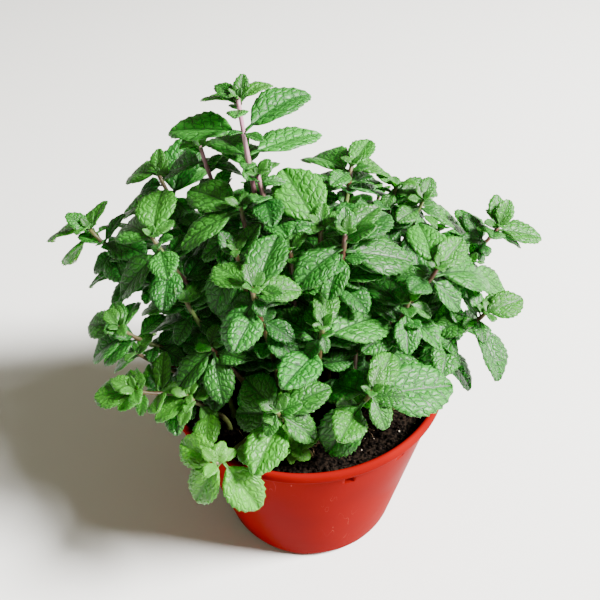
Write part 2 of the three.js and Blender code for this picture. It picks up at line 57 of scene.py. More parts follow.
# How the plant grows, by the rule and the plan that the solids follow too.
# foot and tip are places in mm, leaf is the length of the leaves that the rule adds, turn the direction
# of their pairs in degrees, and pairs how many pairs it adds below the leaves that stand out.
# seen = (distance below the tip, direction, pitch, length) of each leaf that stands out
stemPlans = {
    "top": dict(foot=(-14, 14), tip=(-26, 38, 245), leaf=36, turn=30, pairs=3, seen=(
        (2, 130, 0, 30), (2, 35, 30, 20), (5, 130, 25, 20), (5, 70, 55, 16), (17, 160, 5, 42),
        (17, 35, 30, 42), (30, 125, 20, 34), (28, 35, 5, 44))),
    "top_left": dict(foot=(-22, 26), tip=(-48, 50, 215), leaf=28, turn=10, pairs=3, seen=(
        (3, 125, 20, 18), (3, 80, 30, 18), (9, 155, -10, 32), (9, 35, 0, 14), (16, 90, 30, 22))),
    "left_shoulder": dict(foot=(-34, 30), tip=(-76, 70, 190), leaf=30, turn=80, pairs=3, seen=(
        (2, 145, 0, 30), (2, 95, 45, 16), (6, 75, 10, 28), (8, 160, -5, 20), (15, 160, -5, 40),
        (15, 60, 20, 35), (17, 75, 30, 40))),
    "far_left": dict(foot=(-46, 12), tip=(-114, 49, 170), leaf=26, turn=40, pairs=3, seen=(
        (1, 150, -5, 38), (2, 75, 35, 20), (6, 150, -25, 40), (5, 60, 10, 26), (12, 50, -10, 22),
        (20, 185, -20, 20), (32, 170, -15, 32))),
    "left": dict(foot=(-36, 4), tip=(-73, 17, 185), leaf=32, turn=70, pairs=3, seen=(
        (2, 90, 35, 33), (2, 60, 15, 16), (4, 135, 20, 35), (9, 200, -30, 34), (11, 55, -5, 18))),
    "middle": dict(foot=(-14, -20), tip=(-22, -33, 190), leaf=30, turn=80, pairs=2, seen=(
        (2, 130, 5, 28), (2, 5, 0, 22), (7, 70, 35, 35), (8, 225, -35, 28), (6, 295, -20, 10))),
    "front_middle": dict(foot=(4, -26), tip=(8, -38, 170), leaf=34, turn=60, pairs=2, seen=(
        (2, 75, 35, 22), (3, 120, 20, 14), (4, 280, -30, 10), (8, 220, -30, 12), (9, 20, 0, 42),
        (13, 145, -10, 44))),
    "right_middle": dict(foot=(12, -6), tip=(20, -10, 200), leaf=30, turn=20, pairs=2, seen=(
        (2, 100, 30, 18), (2, 40, 15, 24), (6, 160, -15, 19), (6, 55, 30, 34), (10, 5, -10, 36))),
    "heart": dict(foot=(4, 6), tip=(10, 6, 194), leaf=34, turn=30, pairs=3, seen=(
        (3, 120, 20, 40), (3, 310, -20, 20), (14, 175, -15, 18))),
    "behind_middle": dict(foot=(0, 20), tip=(-19, 25, 212), leaf=28, turn=90, pairs=2, seen=(
        (2, 125, 5, 22), (2, 55, 5, 16), (5, 100, 35, 22), (5, 0, -10, 14), (12, 125, 0, 38),
        (7, 60, 5, 42))),
    "back_right": dict(foot=(14, 26), tip=(28, 52, 200), leaf=28, turn=60, pairs=2, seen=(
        (3, 60, 20, 26), (3, 30, 5, 30), (6, 120, 10, 42), (8, 120, -15, 38), (10, 20, 10, 38),
        (13, 30, -10, 38))),
    "right_back": dict(foot=(24, 16), tip=(52, 52, 186), leaf=26, turn=110, pairs=3, seen=(
        (3, 10, 5, 26), (3, 210, -5, 16), (9, 300, -15, 16), (9, 0, -10, 22))),
    "right_shoulder": dict(foot=(34, 22), tip=(64, 39, 185), leaf=30, turn=70, pairs=3, seen=(
        (2, 50, 50, 16), (2, 105, 10, 18), (5, 20, -5, 44), (7, 130, -5, 20))),
    "far_right": dict(foot=(48, 12), tip=(102, 27, 175), leaf=26, turn=60, pairs=2, seen=(
        (2, 80, 50, 18), (2, 35, 60, 16), (3, 0, -5, 26), (5, 355, -10, 18), (15, 95, 15, 28),
        (15, 275, -20, 10))),
    "right": dict(foot=(32, -4), tip=(63, -12, 180), leaf=34, turn=40, pairs=2, seen=(
        (3, 90, 25, 35), (3, 55, 10, 26), (6, 25, -5, 44), (8, 330, -25, 22), (11, 105, 0, 28))),
    "right_edge": dict(foot=(46, 4), tip=(87, 17, 160), leaf=26, turn=50, pairs=2, seen=(
        (3, 355, -10, 38), (3, 30, 15, 26), (8, 285, -20, 16))),
    "low_right": dict(foot=(46, -16), tip=(90, -11, 150), leaf=32, turn=45, pairs=2, seen=(
        (2, 70, 30, 23), (2, 10, 0, 26), (5, 185, -10, 24), (8, 300, -20, 32), (4, 100, 15, 20))),
    "rim_right": dict(foot=(44, -28), tip=(65, -9, 124), leaf=24, turn=20, pairs=1, seen=(
        (2, 330, -25, 16), (2, 160, 5, 14), (7, 55, 0, 26), (7, 245, -10, 18))),
    "front_right": dict(foot=(18, -44), tip=(29, -55, 145), leaf=34, turn=30, pairs=1, seen=(
        (2, 50, 30, 24), (3, 300, -25, 18), (5, 130, 10, 37), (6, 10, 0, 44), (9, 220, -30, 34))),
    "front_left": dict(foot=(-10, -44), tip=(-14, -60, 140), leaf=30, turn=60, pairs=1, seen=(
        (1, 55, 40, 10), (2, 235, -25, 12), (4, 130, 10, 30), (5, 335, -20, 22), (8, 170, -15, 30),
        (8, 15, 0, 34))),
    "seedling": dict(foot=(0, -57), tip=(-11, -58, 112), leaf=17, turn=10, pairs=0, seen=(
        (1, 180, 0, 12), (1, 330, 0, 12), (3, 265, -5, 8))),
    "over_rim": dict(foot=(-26, -48), tip=(-43, -72, 120), leaf=30, turn=30, pairs=1, seen=(
        (2, 30, 20, 10), (3, 155, 5, 26), (5, 325, -30, 30), (5, 210, -30, 28), (16, 315, -10, 16))),
    "low_left": dict(foot=(-46, -24), tip=(-83, -36, 132), leaf=28, turn=60, pairs=2, seen=(
        (2, 175, -5, 25), (2, 155, 15, 16), (5, 120, 20, 28), (6, 250, -15, 12), (5, 160, -5, 40),
        (12, 110, 0, 18))),
    "left_edge": dict(foot=(-54, -6), tip=(-91, -12, 152), leaf=26, turn=80, pairs=2, seen=(
        (2, 160, 0, 25), (2, 120, 40, 14), (4, 90, 20, 22), (8, 185, -15, 28), (13, 210, -10, 24))),
    "left_under": dict(foot=(-54, -16), tip=(-84, -16, 138), leaf=26, turn=10, pairs=1, seen=(
        (3, 165, -10, 23), (3, 55, 0, 14), (9, 220, -20, 20))),
    "front_left_high": dict(foot=(-30, -20), tip=(-45, -26, 150), leaf=34, turn=20, pairs=2, seen=(
        (4, 290, -40, 28), (4, 210, -30, 26), (9, 160, 0, 25), (9, 40, 0, 18), (18, 225, -30, 30))),
    "inner_left": dict(foot=(-16, 4), tip=(-28, 17, 200), leaf=34, turn=130, pairs=2, seen=(
        (2, 130, 10, 38), (3, 190, -10, 36), (4, 10, 5, 16), (12, 215, -20, 32))),
    "inner_middle": dict(foot=(-22, -6), tip=(-31, 1, 186), leaf=32, turn=60, pairs=2, seen=(
        (6, 225, -30, 30), (6, 70, 10, 32))),
    "inner_right": dict(foot=(-4, -10), tip=(-5, -1, 186), leaf=32, turn=140, pairs=2, seen=(
        (4, 115, 10, 38), (4, 315, -15, 20), (12, 195, -20, 18))),
    "left_dark": dict(foot=(-40, -8), tip=(-58, -3, 160), leaf=32, turn=40, pairs=3, seen=(
        (4, 150, -5, 34), (4, 80, 25, 18), (9, 235, -30, 18), (9, 50, 5, 18), (14, 150, -10, 40))),
    "dark_heart": dict(foot=(-38, -30), tip=(-50, -14, 138), leaf=32, turn=70, pairs=2, seen=(
        (4, 105, 30, 36), (6, 160, -10, 28), (10, 215, -25, 30))),
    "front_left_low": dict(foot=(-40, -38), tip=(-58, -39, 130), leaf=30, turn=60, pairs=1, seen=(
        (3, 245, -25, 14), (3, 185, -10, 21), (6, 70, 0, 14), (8, 305, -25, 16))),
    "right_fill": dict(foot=(32, -22), tip=(50, -17, 165), leaf=30, turn=30, pairs=3, seen=(
        (6, 125, 0, 40), (2, 345, -10, 14), (6, 270, -35, 22), (9, 170, -20, 16), (9, 40, 10, 26))),
    "front_fill": dict(foot=(22, -30), tip=(25, -23, 140), leaf=30, turn=100, pairs=2, seen=(
        (5, 20, 0, 26), (5, 235, -20, 18), (12, 50, 5, 38))),
    "back_left": dict(foot=(-30, 44), tip=(-66, 84, 152), leaf=30, turn=30, pairs=3, seen=()),
    "back": dict(foot=(-10, 46), tip=(-28, 94, 166), leaf=32, turn=60, pairs=3, seen=()),
    "back_middle": dict(foot=(10, 44), tip=(12, 98, 160), leaf=32, turn=20, pairs=3, seen=()),
    "back_shoulder": dict(foot=(28, 38), tip=(48, 88, 158), leaf=30, turn=50, pairs=3, seen=()),
    "back_edge": dict(foot=(42, 34), tip=(80, 62, 150), leaf=28, turn=80, pairs=3, seen=()),
    "back_inner": dict(foot=(-4, 38), tip=(4, 62, 180), leaf=32, turn=40, pairs=2, seen=()),
}

growth = {
    "soilTop": 102, "soilRoughness": 1.1, "stemRadius": 1.6, "stemTaper": 0.4, "stemBend": 12,
    "stemSamples": 40, "stemRise": 0.4, "tipReach": 0.36, "tipLift": 0.25,
    "petioleShare": 0.14, "petioleWidth": 0.075, "bladeSkew": 0.88, "bladeFullness": 0.78,
    "widthRatio": 0.62, "widthSpread": (0.92, 1.12), "roll": (-12, 12), "fold": (4, 20), "arch": (0.25, 0.85),
    "crownFrom": 185, "crownHeight": 60, "crownSlimmer": 0.24, "stemLean": 0.6, "light": (0.05, -0.3, 0.8),
    "sampleStep": 3.8, "leafGap": 3.2, "ownLeafGap": 3, "stemGap": 3.8, "boxGap": 4.2, "nearStem": 0.28,
    "pairPlaces": (0.08, 0.22, 0.52, 0.95, 1.45, 2.0, 2.6), "lowerLengths": (1, 0.95, 0.88, 0.8),
    "lowerPitch": -8, "pairGap": 4, "pairTurn": (-14, 14), "pairLength": (0.85, 1.05), "pairPitch": (-8, 12),
    "bareFoot": 12,
    # how low a leaf may hang inside the lip, over it and outside it, and the radii between these
    "overSoil": 105, "overLip": 112.5, "outside": 40, "lipFrom": 68, "lipTo": 78,
    # a leaf that would touch another is bent by these steps in turn: direction, pitch, size
    "bends": (
        (0, 0, 1), (0, 12, 1), (0, -12, 1), (13, 0, 1), (-13, 0, 1), (13, 12, 0.95), (-13, 12, 0.95),
        (13, -12, 0.95), (-13, -12, 0.95), (0, 24, 0.9), (0, -24, 0.9), (26, 0, 0.88), (-26, 0, 0.88),
        (0, 36, 0.8), (26, 24, 0.8), (-26, 24, 0.8), (26, -20, 0.78), (-26, -20, 0.78), (0, 20, 0.66),
        (0, -20, 0.62), (42, 0, 0.7), (-42, 0, 0.7), (42, 24, 0.6), (-42, 24, 0.6), (60, -12, 0.55),
        (-60, -12, 0.55)),
    "seed": 20,
}

# small leaves that only the looks have: buds at the tips, shoots in the axils, fillers inside the bush
smallGrowth = {
    "budPairs": 3, "budLength": (7, 13), "budPitch": (28, 55), "budTurn": (-20, 20), "budShrink": 0.25,
    "budRise": 12, "budTop": 0.4, "budStep": 0.7, "budBends": 5, "budGap": 0.5,
    "shootChance": 0.52, "shootLength": (9, 20), "shootPitch": (5, 55), "shootTurn": (-30, 30),
    "shootLift": 1.5, "shootFoot": 9, "shootBends": 11,
    "fillerTries": 2200, "fillerLength": (17, 32), "fillerPitch": (-25, 35), "fillerPlace": (0.08, 0.9),
    "fillerStem": 48, "fillerFoot": 8, "fillerRadius": 42, "fillerInset": 4, "fillerBends": 3,
    "leafGap": 1.9, "ownLeafGap": 1.6, "stemGap": 1.6,
}

dice = {"state": growth["seed"]}


def spread(low, high):
    dice["state"] = (dice["state"] * 1664525 + 1013904223) % 4294967296
    return low + (high - low) * (dice["state"] / 4294967296)


def bezierPoints(controls, shares):
    t = np.asarray(shares, float)[..., None]
    a, b, c, d = controls
    return a * (1 - t) ** 3 + 3 * b * (1 - t) ** 2 * t + 3 * c * (1 - t) * t**2 + d * t**3


def walkedAlong(points):
    return np.concatenate([[0], np.cumsum(np.linalg.norm(np.diff(points, axis=0), axis=1))])


def growStem(name, plan):
    start = np.array([*plan["foot"], growth["soilTop"] + growth["soilRoughness"] * 1.5], float)
    end = np.array(plan["tip"], float)
    length = np.linalg.norm(end - start)
    rise = start + np.array([0, 0, length * growth["stemRise"]])
    lifted = unit(unit(end - start) + np.array([0, 0, growth["tipLift"]]))
    approach = end - lifted * growth["tipReach"] * length
    controls = (start, rise, approach, end)
    grid = np.linspace(0, 1, 201)
    reached = walkedAlong(bezierPoints(controls, grid))

    def pointsAt(shares):
        return bezierPoints(controls, np.interp(np.asarray(shares) * reached[-1], reached, grid))

    lastLean = unit(end - bezierPoints(controls, 0.9999))
    steps = max(3, math.ceil(math.degrees(math.acos(lastLean[2])) / growth["stemBend"]))
    count = growth["stemSamples"]
    sections = pointsAt(np.arange(steps + 1) / steps)
    places = np.arange(count + 1) * steps / count
    section = np.minimum(places.astype(int), steps - 1)
    line = sections[section] + (sections[section + 1] - sections[section]) * (places - section)[:, None]
    return {
        "name": name, "plan": plan, "line": line, "walked": walkedAlong(line), "leaves": [],
        "smooth": pointsAt(np.arange(count + 1) / count),
        "samples": np.zeros((0, 3)), "outer": np.zeros((0, 3))}


def belowTip(stem, distance):
    walked, count = stem["walked"], growth["stemSamples"]
    target = walked[count] - distance
    i = 1
    while i < count and walked[i] < target:
        i += 1
    share = (target - walked[i - 1]) / (walked[i] - walked[i - 1])
    place, smooth = [path[i - 1] + (path[i] - path[i - 1]) * share for path in (stem["line"], stem["smooth"])]
    return place, smooth, unit(stem["line"][i] - stem["line"][i - 1])


def leafWidthAt(share):
    share = np.asarray(share, float)
    petiole, narrowest = growth["petioleShare"], growth["petioleWidth"]
    inBlade = np.clip((share - petiole) / (1 - petiole), 0, 1)
    blade = np.maximum(0, np.sin(np.pi * inBlade ** growth["bladeSkew"])) ** growth["bladeFullness"]
    return np.where(share <= petiole, narrowest, np.maximum(narrowest, blade))


def leafFrame(place, along, direction, pitch, roll):
    turn, lift, tilt = math.radians(direction), math.radians(pitch), math.radians(roll)
    forward = np.array([math.cos(turn) * math.cos(lift), math.sin(turn) * math.cos(lift), math.sin(lift)])
    light = np.array(growth["light"]) + along * growth["stemLean"]
    up = unit(light - forward * light.dot(forward))
    up = up * math.cos(tilt) + np.cross(up, forward) * math.sin(tilt)
    return {"base": place, "forward": forward, "up": up, "side": np.cross(up, forward)}


def leafPoints(leaf, share, across, width, lifted=0.0):
    at, bend = leaf["frame"], leaf["arch"] * share
    half = width * leaf["halfWidth"] * across
    rise = np.abs(half) * math.sin(leaf["fold"]) + lifted
    forward = leaf["length"] * np.sin(bend) / leaf["arch"] + rise * np.sin(bend)
    upward = rise * np.cos(bend) - leaf["length"] * (1 - np.cos(bend)) / leaf["arch"]
    out = half * math.cos(leaf["fold"])
    return (at["base"] + forward[:, None] * at["forward"] + upward[:, None] * at["up"]
            + out[:, None] * at["side"])


def leafSamples(leaf):
    rows = max(2, math.floor(leaf["length"] / growth["sampleStep"] + 0.5))
    columns = max(1, math.floor(leaf["halfWidth"] / growth["sampleStep"] + 0.5))
    share = growth["petioleShare"] + (1 - growth["petioleShare"]) * np.arange(1, rows + 1) / rows
    share, across = np.meshgrid(share, np.arange(-columns, columns + 1) / columns, indexing="ij")
    return leafPoints(leaf, share.ravel(), across.ravel(), leafWidthAt(share.ravel()))


def clearOfPot(points):
    radius = np.hypot(points[:, 0], points[:, 1])
    lowest = np.where(radius > growth["lipTo"], growth["outside"], growth["overLip"])
    lowest[radius < growth["lipFrom"]] = growth["overSoil"]
    return bool((points[:, 2] > lowest).all())


def tooClose(points, others, gap):
    return len(others) > 0 and ((points[:, None] - others[None]) ** 2).sum(-1).min() < gap * gap


def roomFor(leaf, stem, stems, gaps):
    samples = leafSamples(leaf)
    if not clearOfPot(samples):
        return None
    outer = samples[math.ceil(len(samples) * growth["nearStem"]):]
    low, high = samples.min(0) - growth["boxGap"], samples.max(0) + growth["boxGap"]
    for other in stems:
        if (other["low"] > high).any() or (other["high"] < low).any():
            continue
        if other is stem:
            touching = tooClose(outer, other["outer"], gaps["ownLeafGap"])
        else:
            touching = tooClose(samples, other["line"], gaps["stemGap"])
            touching = touching or tooClose(samples, other["samples"], gaps["leafGap"])
        if touching:
            return None
    return samples, outer


def addLeaf(stem, leaf, samples, outer):
    stem["leaves"].append(leaf)
    stem["samples"] = np.vstack([stem["samples"], samples])
    stem["outer"] = np.vstack([stem["outer"], outer])
    stem["low"] = np.minimum(stem["low"], samples.min(0))
    stem["high"] = np.maximum(stem["high"], samples.max(0))


def growLeaf(stem, stems, below, direction, pitch, length, gaps, bends):
    place, smooth, along = belowTip(stem, below)
    roll = spread(*growth["roll"])
    fold = math.radians(spread(*growth["fold"]))
    arch = spread(*growth["arch"])
    crown = min(1, max(0, (place[2] - growth["crownFrom"]) / growth["crownHeight"]))
    width = growth["widthRatio"] * (1 - growth["crownSlimmer"] * crown) * spread(*growth["widthSpread"])
    for turn, lift, size in bends:
        leaf = {
            "frame": leafFrame(place, along, direction + turn, pitch + lift, roll), "below": below,
            "smooth": smooth, "length": length * size, "halfWidth": length * size * width / 2,
            "arch": arch, "fold": fold}
        room = roomFor(leaf, stem, stems, gaps)
        if room:
            addLeaf(stem, leaf, *room)
            return


def growPlant():
    stems = [growStem(name, plan) for name, plan in stemPlans.items()]
    for stem in stems:
        stem["low"], stem["high"] = stem["line"].min(0), stem["line"].max(0)
    for stem in stems:
        for below, direction, pitch, length in stem["plan"]["seen"]:
            growLeaf(stem, stems, below, direction, pitch, length, growth, growth["bends"])
    for stem in stems:
        plan = stem["plan"]
        deepest = max([0] + [seen[0] for seen in plan["seen"]])
        places = [place * plan["leaf"] for place in growth["pairPlaces"]]
        first = next(i for i, place in enumerate(places) if place > deepest + growth["pairGap"])
        for pair in range(first, min(first + plan["pairs"], len(places))):
            below = places[pair]
            room = stem["walked"][-1] - below
            for side in (0, 180):
                direction = plan["turn"] + side + 90 * (pair % 2) + spread(*growth["pairTurn"])
                length = plan["leaf"] * growth["lowerLengths"][min(pair - first, 3)]
                length *= spread(*growth["pairLength"])
                if room > growth["bareFoot"]:
                    pitch = growth["lowerPitch"] + spread(*growth["pairPitch"])
                    growLeaf(stem, stems, below, direction, pitch, length, growth, growth["bends"])
    return stems


def growBuds(stem, stems):
    gaps = {key: smallGrowth["budGap"] for key in ("leafGap", "ownLeafGap", "stemGap")}
    bends = growth["bends"][:smallGrowth["budBends"]]
    for pair in range(smallGrowth["budPairs"]):
        below = smallGrowth["budTop"] + smallGrowth["budStep"] * pair
        for side in (0, 180):
            direction = stem["plan"]["turn"] + 45 + 90 * pair + side + spread(*smallGrowth["budTurn"])
            length = spread(*smallGrowth["budLength"]) * (1 - smallGrowth["budShrink"] * pair)
            pitch = spread(*smallGrowth["budPitch"]) + smallGrowth["budRise"] * pair
            growLeaf(stem, stems, below, direction, pitch, length, gaps, bends)


def growShoots(stem, stems):
    lean = math.degrees(math.atan2(*(stem["line"][-1] - stem["line"][-5])[[1, 0]]))
    bends = growth["bends"][:smallGrowth["shootBends"]]
    for place in growth["pairPlaces"][1:]:
        below = place * stem["plan"]["leaf"] - smallGrowth["shootLift"]
        room = stem["walked"][-1] - smallGrowth["shootFoot"]
        for side in (0, 90, 180, 270):
            if below < room and spread(0, 1) < smallGrowth["shootChance"]:
                direction = lean + side + spread(*smallGrowth["shootTurn"])
                pitch, length = spread(*smallGrowth["shootPitch"]), spread(*smallGrowth["shootLength"])
                growLeaf(stem, stems, below, direction, pitch, length, smallGrowth, bends)


def growFillers(stems):
    bends = growth["bends"][:smallGrowth["fillerBends"]]
    for attempt in range(smallGrowth["fillerTries"]):
        stem = stems[int(spread(0, len(stems)))]
        reach = stem["walked"][-1]
        below = reach * spread(*smallGrowth["fillerPlace"])
        direction, pitch = spread(0, 360), spread(*smallGrowth["fillerPitch"])
        length, turn = spread(*smallGrowth["fillerLength"]), math.radians(direction)
        farEnd = belowTip(stem, below)[0][:2] + length * np.array([math.cos(turn), math.sin(turn)])
        tipRadius = np.hypot(*stem["line"][-1][:2])
        widest = max(smallGrowth["fillerRadius"], tipRadius - smallGrowth["fillerInset"])
        tall = reach > smallGrowth["fillerStem"] and below < reach - smallGrowth["fillerFoot"]
        if tall and np.hypot(*farEnd) < widest:
            growLeaf(stem, stems, below, direction, pitch, length, smallGrowth, bends)


stems = growPlant()
mainLeaves = sum(len(stem["leaves"]) for stem in stems)
for stem in stems:
    growBuds(stem, stems)
    growShoots(stem, stems)
growFillers(stems)
allLeaves = sum(len(stem["leaves"]) for stem in stems)
print("plant grown:", mainLeaves, "leaves in the solids,", allLeaves, "with the small ones")


# Shader groups

def newGroup(name, inputs, outputs):
    group = bpy.data.node_groups.new(name, "ShaderNodeTree")
    for socketName, kind, value in inputs:
        socket = group.interface.new_socket(name=socketName, in_out="INPUT", socket_type=kind)
        socket.default_value = value
    for socketName, kind in outputs:
        group.interface.new_socket(name=socketName, in_out="OUTPUT", socket_type=kind)
    return group, group.nodes.new("NodeGroupInput"), group.nodes.new("NodeGroupOutput")


def feed(tree, socket, value):
    if isinstance(value, bpy.types.NodeSocket):
        tree.links.new(value, socket)
    else:
        socket.default_value = value


def addNode(tree, kind, settings=None, **values):
    node = tree.nodes.new(kind)
    for key, value in (settings or {}).items():
        setattr(node, key, value)
    for key, value in values.items():
        feed(tree, node.inputs[key], value)
    return node


def calc(tree, operation, *values, clamp=False):
    node = tree.nodes.new("ShaderNodeMath")
    node.operation, node.use_clamp = operation, clamp
    for i, value in enumerate(values):
        feed(tree, node.inputs[i], value)
    return node.outputs[0]


def between(tree, value, low, high, toLow=0.0, toHigh=1.0):
    node = addNode(tree, "ShaderNodeMapRange", {"interpolation_type": "SMOOTHSTEP"}, Value=value)
    for name, number in (("From Min", low), ("From Max", high), ("To Min", toLow), ("To Max", toHigh)):
        node.inputs[name].default_value = number
    return node.outputs["Result"]


def blendColours(tree, share, first, second):
    node = addNode(tree, "ShaderNodeMix", {"data_type": "RGBA"}, Factor=share)
    for socket, colour in ((node.inputs[6], first), (node.inputs[7], second)):
        feed(tree, socket, colour if isinstance(colour, bpy.types.NodeSocket) else (*colour, 1))
    return node.outputs[2]


def makeGrainGroup():
    group, inputs, outputs = newGroup(
        "fineGrain", [("Scale", "NodeSocketFloat", 1000.0), ("Detail", "NodeSocketFloat", 3.0)],
        [("Value", "NodeSocketFloat"), ("Patches", "NodeSocketFloat")])
    place = addNode(group, "ShaderNodeTexCoord").outputs["Object"]
    scale, detail = inputs.outputs["Scale"], inputs.outputs["Detail"]
    fine = addNode(group, "ShaderNodeTexNoise", Vector=place, Scale=scale, Detail=detail)
    wide = addNode(group, "ShaderNodeTexNoise", Vector=place, Scale=calc(group, "MULTIPLY", scale, 0.08))
    group.links.new(fine.outputs[0], outputs.inputs["Value"])
    group.links.new(wide.outputs[0], outputs.inputs["Patches"])
    return group


# Places on a leaf and vein widths are in units of 50 mm, sideSpacing and crossSpacing in shares of the
# leaf's length. lean says how a side vein bends forward: its slope at the midrib and its curve.
leafUnit = 50
veinPlan = {
    "sideSpacing": 0.125, "crossSpacing": 0.06, "crossLeast": 0.010, "lean": (0.5, 0.9), "wobble": 0.07,
    # the Valley widths mark a painted shade: dark colour laid into the hollows beside the veins, where shade
    # would fall
    "wobbleScale": 13.0, "sideLine": (0.0012, 0.0052), "sideValley": (0.0012, 0.0095),
    "crossLine": (0.0005, 0.0036), "crossLineDepth": 0.7, "crossValley": (0.0008, 0.0070),
    "crossValleyDepth": 0.8, "pillow": 0.022,
}


def makeVeinGroup():
    # leafPlace holds the place along the midrib and across it, and the leaf's length
    group, inputs, outputs = newGroup(
        "leafVeins",
        [("Side Vein Spacing", "NodeSocketFloat", veinPlan["sideSpacing"]),
         ("Cross Vein Spacing", "NodeSocketFloat", veinPlan["crossSpacing"])],
        [("Vein Lines", "NodeSocketFloat"), ("Valley Shade", "NodeSocketFloat"), ("Pillows", "NodeSocketFloat")])
    place = addNode(group, "ShaderNodeAttribute", {"attribute_name": "leafPlace"}).outputs["Vector"]
    parts = addNode(group, "ShaderNodeSeparateXYZ", Vector=place).outputs
    along, across, size = parts[0], calc(group, "ABSOLUTE", parts[1]), parts[2]
    flat = addNode(group, "ShaderNodeCombineXYZ", X=along, Y=parts[1], Z=0.0).outputs[0]
    noiseNode = addNode(group, "ShaderNodeTexNoise", {"noise_dimensions": "2D"},
                        Vector=flat, Scale=veinPlan["wobbleScale"], Detail=1.0)
    wobble = addNode(group, "ShaderNodeSeparateColor", Color=noiseNode.outputs["Color"]).outputs
    shift = [calc(group, "MULTIPLY", calc(group, "SUBTRACT", wobble[i], 0.5), veinPlan["wobble"])
             for i in (0, 1)]

    # side veins leave the midrib, lean forward and curve
    slope, curve = veinPlan["lean"]
    spacing = calc(group, "MULTIPLY", size, inputs.outputs["Side Vein Spacing"])
    lean = calc(group, "MULTIPLY", across, calc(group, "ADD", calc(group, "MULTIPLY", across, curve), slope))
    shifted = calc(group, "ADD", calc(group, "SUBTRACT", along, lean), shift[0])
    steps = calc(group, "DIVIDE", shifted, spacing)
    sideDistance = calc(group, "MULTIPLY", calc(group, "PINGPONG", steps, 0.5), spacing)
    sideDistance = calc(group, "MULTIPLY", sideDistance, 0.85)  # measured square to the vein

    # cross veins join them like the joints of brickwork, with a start of its own for each row
    leafSide = calc(group, "MULTIPLY", calc(group, "SIGN", parts[1]), 37.0)  # the two sides differ
    row = calc(group, "ADD", calc(group, "FLOOR", steps), leafSide)
    bond = addNode(group, "ShaderNodeTexWhiteNoise", {"noise_dimensions": "1D"}, W=row).outputs["Value"]
    crossSpacing = calc(group, "MULTIPLY", size, inputs.outputs["Cross Vein Spacing"])
    crossSpacing = calc(group, "ADD", crossSpacing, veinPlan["crossLeast"])
    crossSteps = calc(group, "DIVIDE", calc(group, "ADD", across, shift[1]), crossSpacing)
    crossSteps = calc(group, "ADD", crossSteps, bond)
    crossDistance = calc(group, "MULTIPLY", calc(group, "PINGPONG", crossSteps, 0.5), crossSpacing)

    strong = calc(group, "MINIMUM", sideDistance, calc(group, "MULTIPLY", across, 0.7))
    made = {"Pillows": between(group, calc(group, "MINIMUM", strong, crossDistance), 0.0, veinPlan["pillow"])}
    # the valley mask is a painted shade in the hollows beside the veins; the vein lines are the veins' own
    # paler colour
    for name, kind in (("Vein Lines", "Line"), ("Valley Shade", "Valley")):
        sides = between(group, strong, *veinPlan["side" + kind], 1.0, 0.0)
        depth = veinPlan["cross" + kind + "Depth"]
        crossings = between(group, crossDistance, *veinPlan["cross" + kind], depth, 0.0)
        made[name] = calc(group, "MAXIMUM", sides, crossings)
    for name, value in made.items():
        group.links.new(value, outputs.inputs[name])
    return group


grainGroup = makeGrainGroup()
veinGroup = makeVeinGroup()


def newMaterial(name):
    material = bpy.data.materials.new(name)
    material.use_nodes = True
    return material, material.node_tree, material.node_tree.nodes["Principled BSDF"]


def placeGroup(tree, group, **values):
    node = tree.nodes.new("ShaderNodeGroup")
    node.node_tree = group
    for key, value in values.items():
        node.inputs[key].default_value = value
    return node.outputs


def roughenBy(tree, shader, value, roughness):
    # noise seldom leaves the range from 0.3 to 0.7
    tree.links.new(between(tree, value, 0.3, 0.7, *roughness), shader.inputs["Roughness"])


def bumpInto(tree, shader, height, strength, distance):
    bump = addNode(tree, "ShaderNodeBump", Height=height, Strength=strength, Distance=distance)
    tree.links.new(bump.outputs[0], shader.inputs["Normal"])


leafLook = {
    "deep": (0.005, 0.055, 0.007), "fresh": (0.025, 0.180, 0.020), "young": (0.062, 0.250, 0.012),
    # valley is a painted shade, the dark green laid into the hollows beside the veins, strongest on old
    # leaves
    "underside": (0.065, 0.200, 0.050), "vein": (0.160, 0.400, 0.090), "valley": (0.0015, 0.020, 0.003),
    "valleyShadeShare": (0.97, 0.55), "veinShare": (0.03, 0.25),  # on an old leaf and on a young one
    "grain": 1200.0, "bump": 1.0, "bumpDepth": 0.00035, "roughness": (0.40, 0.52), "gloss": 0.26,
    "glow": 0.5, "glowDepth": 0.0018, "glowSpread": (0.45, 1.0, 0.25),  # light that comes through the leaf
}


def makeLeafMaterial():
    material, tree, shader = newMaterial("mint leaf")
    veins = placeGroup(tree, veinGroup)
    grain = placeGroup(tree, grainGroup, Scale=leafLook["grain"])
    tone, youth, under = [addNode(tree, "ShaderNodeAttribute", {"attribute_name": name}).outputs["Fac"]
                          for name in ("tone", "youth", "under")]
    patches = calc(tree, "MULTIPLY", calc(tree, "SUBTRACT", grain["Patches"], 0.5), 0.5)
    mottled = calc(tree, "ADD", tone, patches, clamp=True)
    grown = blendColours(tree, mottled, leafLook["deep"], leafLook["fresh"])
    upper = blendColours(tree, youth, grown, leafLook["young"])
    # painted shade goes into the hollows beside the veins, then the veins get their own paler colour
    for mask, share, colour in (("Valley Shade", "valleyShadeShare", "valley"), ("Vein Lines", "veinShare", "vein")):
        strength = calc(tree, "MULTIPLY", veins[mask], between(tree, youth, 0.0, 1.0, *leafLook[share]))
        upper = blendColours(tree, strength, upper, leafLook[colour])
    tree.links.new(blendColours(tree, under, upper, leafLook["underside"]), shader.inputs["Base Color"])
    roughenBy(tree, shader, grain["Value"], leafLook["roughness"])
    shader.inputs["Subsurface Weight"].default_value = leafLook["glow"]
    shader.inputs["Subsurface Radius"].default_value = leafLook["glowSpread"]
    shader.inputs["Subsurface Scale"].default_value = leafLook["glowDepth"]
    shader.inputs["Specular IOR Level"].default_value = leafLook["gloss"]
    height = calc(tree, "ADD", veins["Pillows"], calc(tree, "MULTIPLY", grain["Value"], 0.05))
    bumpInto(tree, shader, height, leafLook["bump"], leafLook["bumpDepth"])
    return material


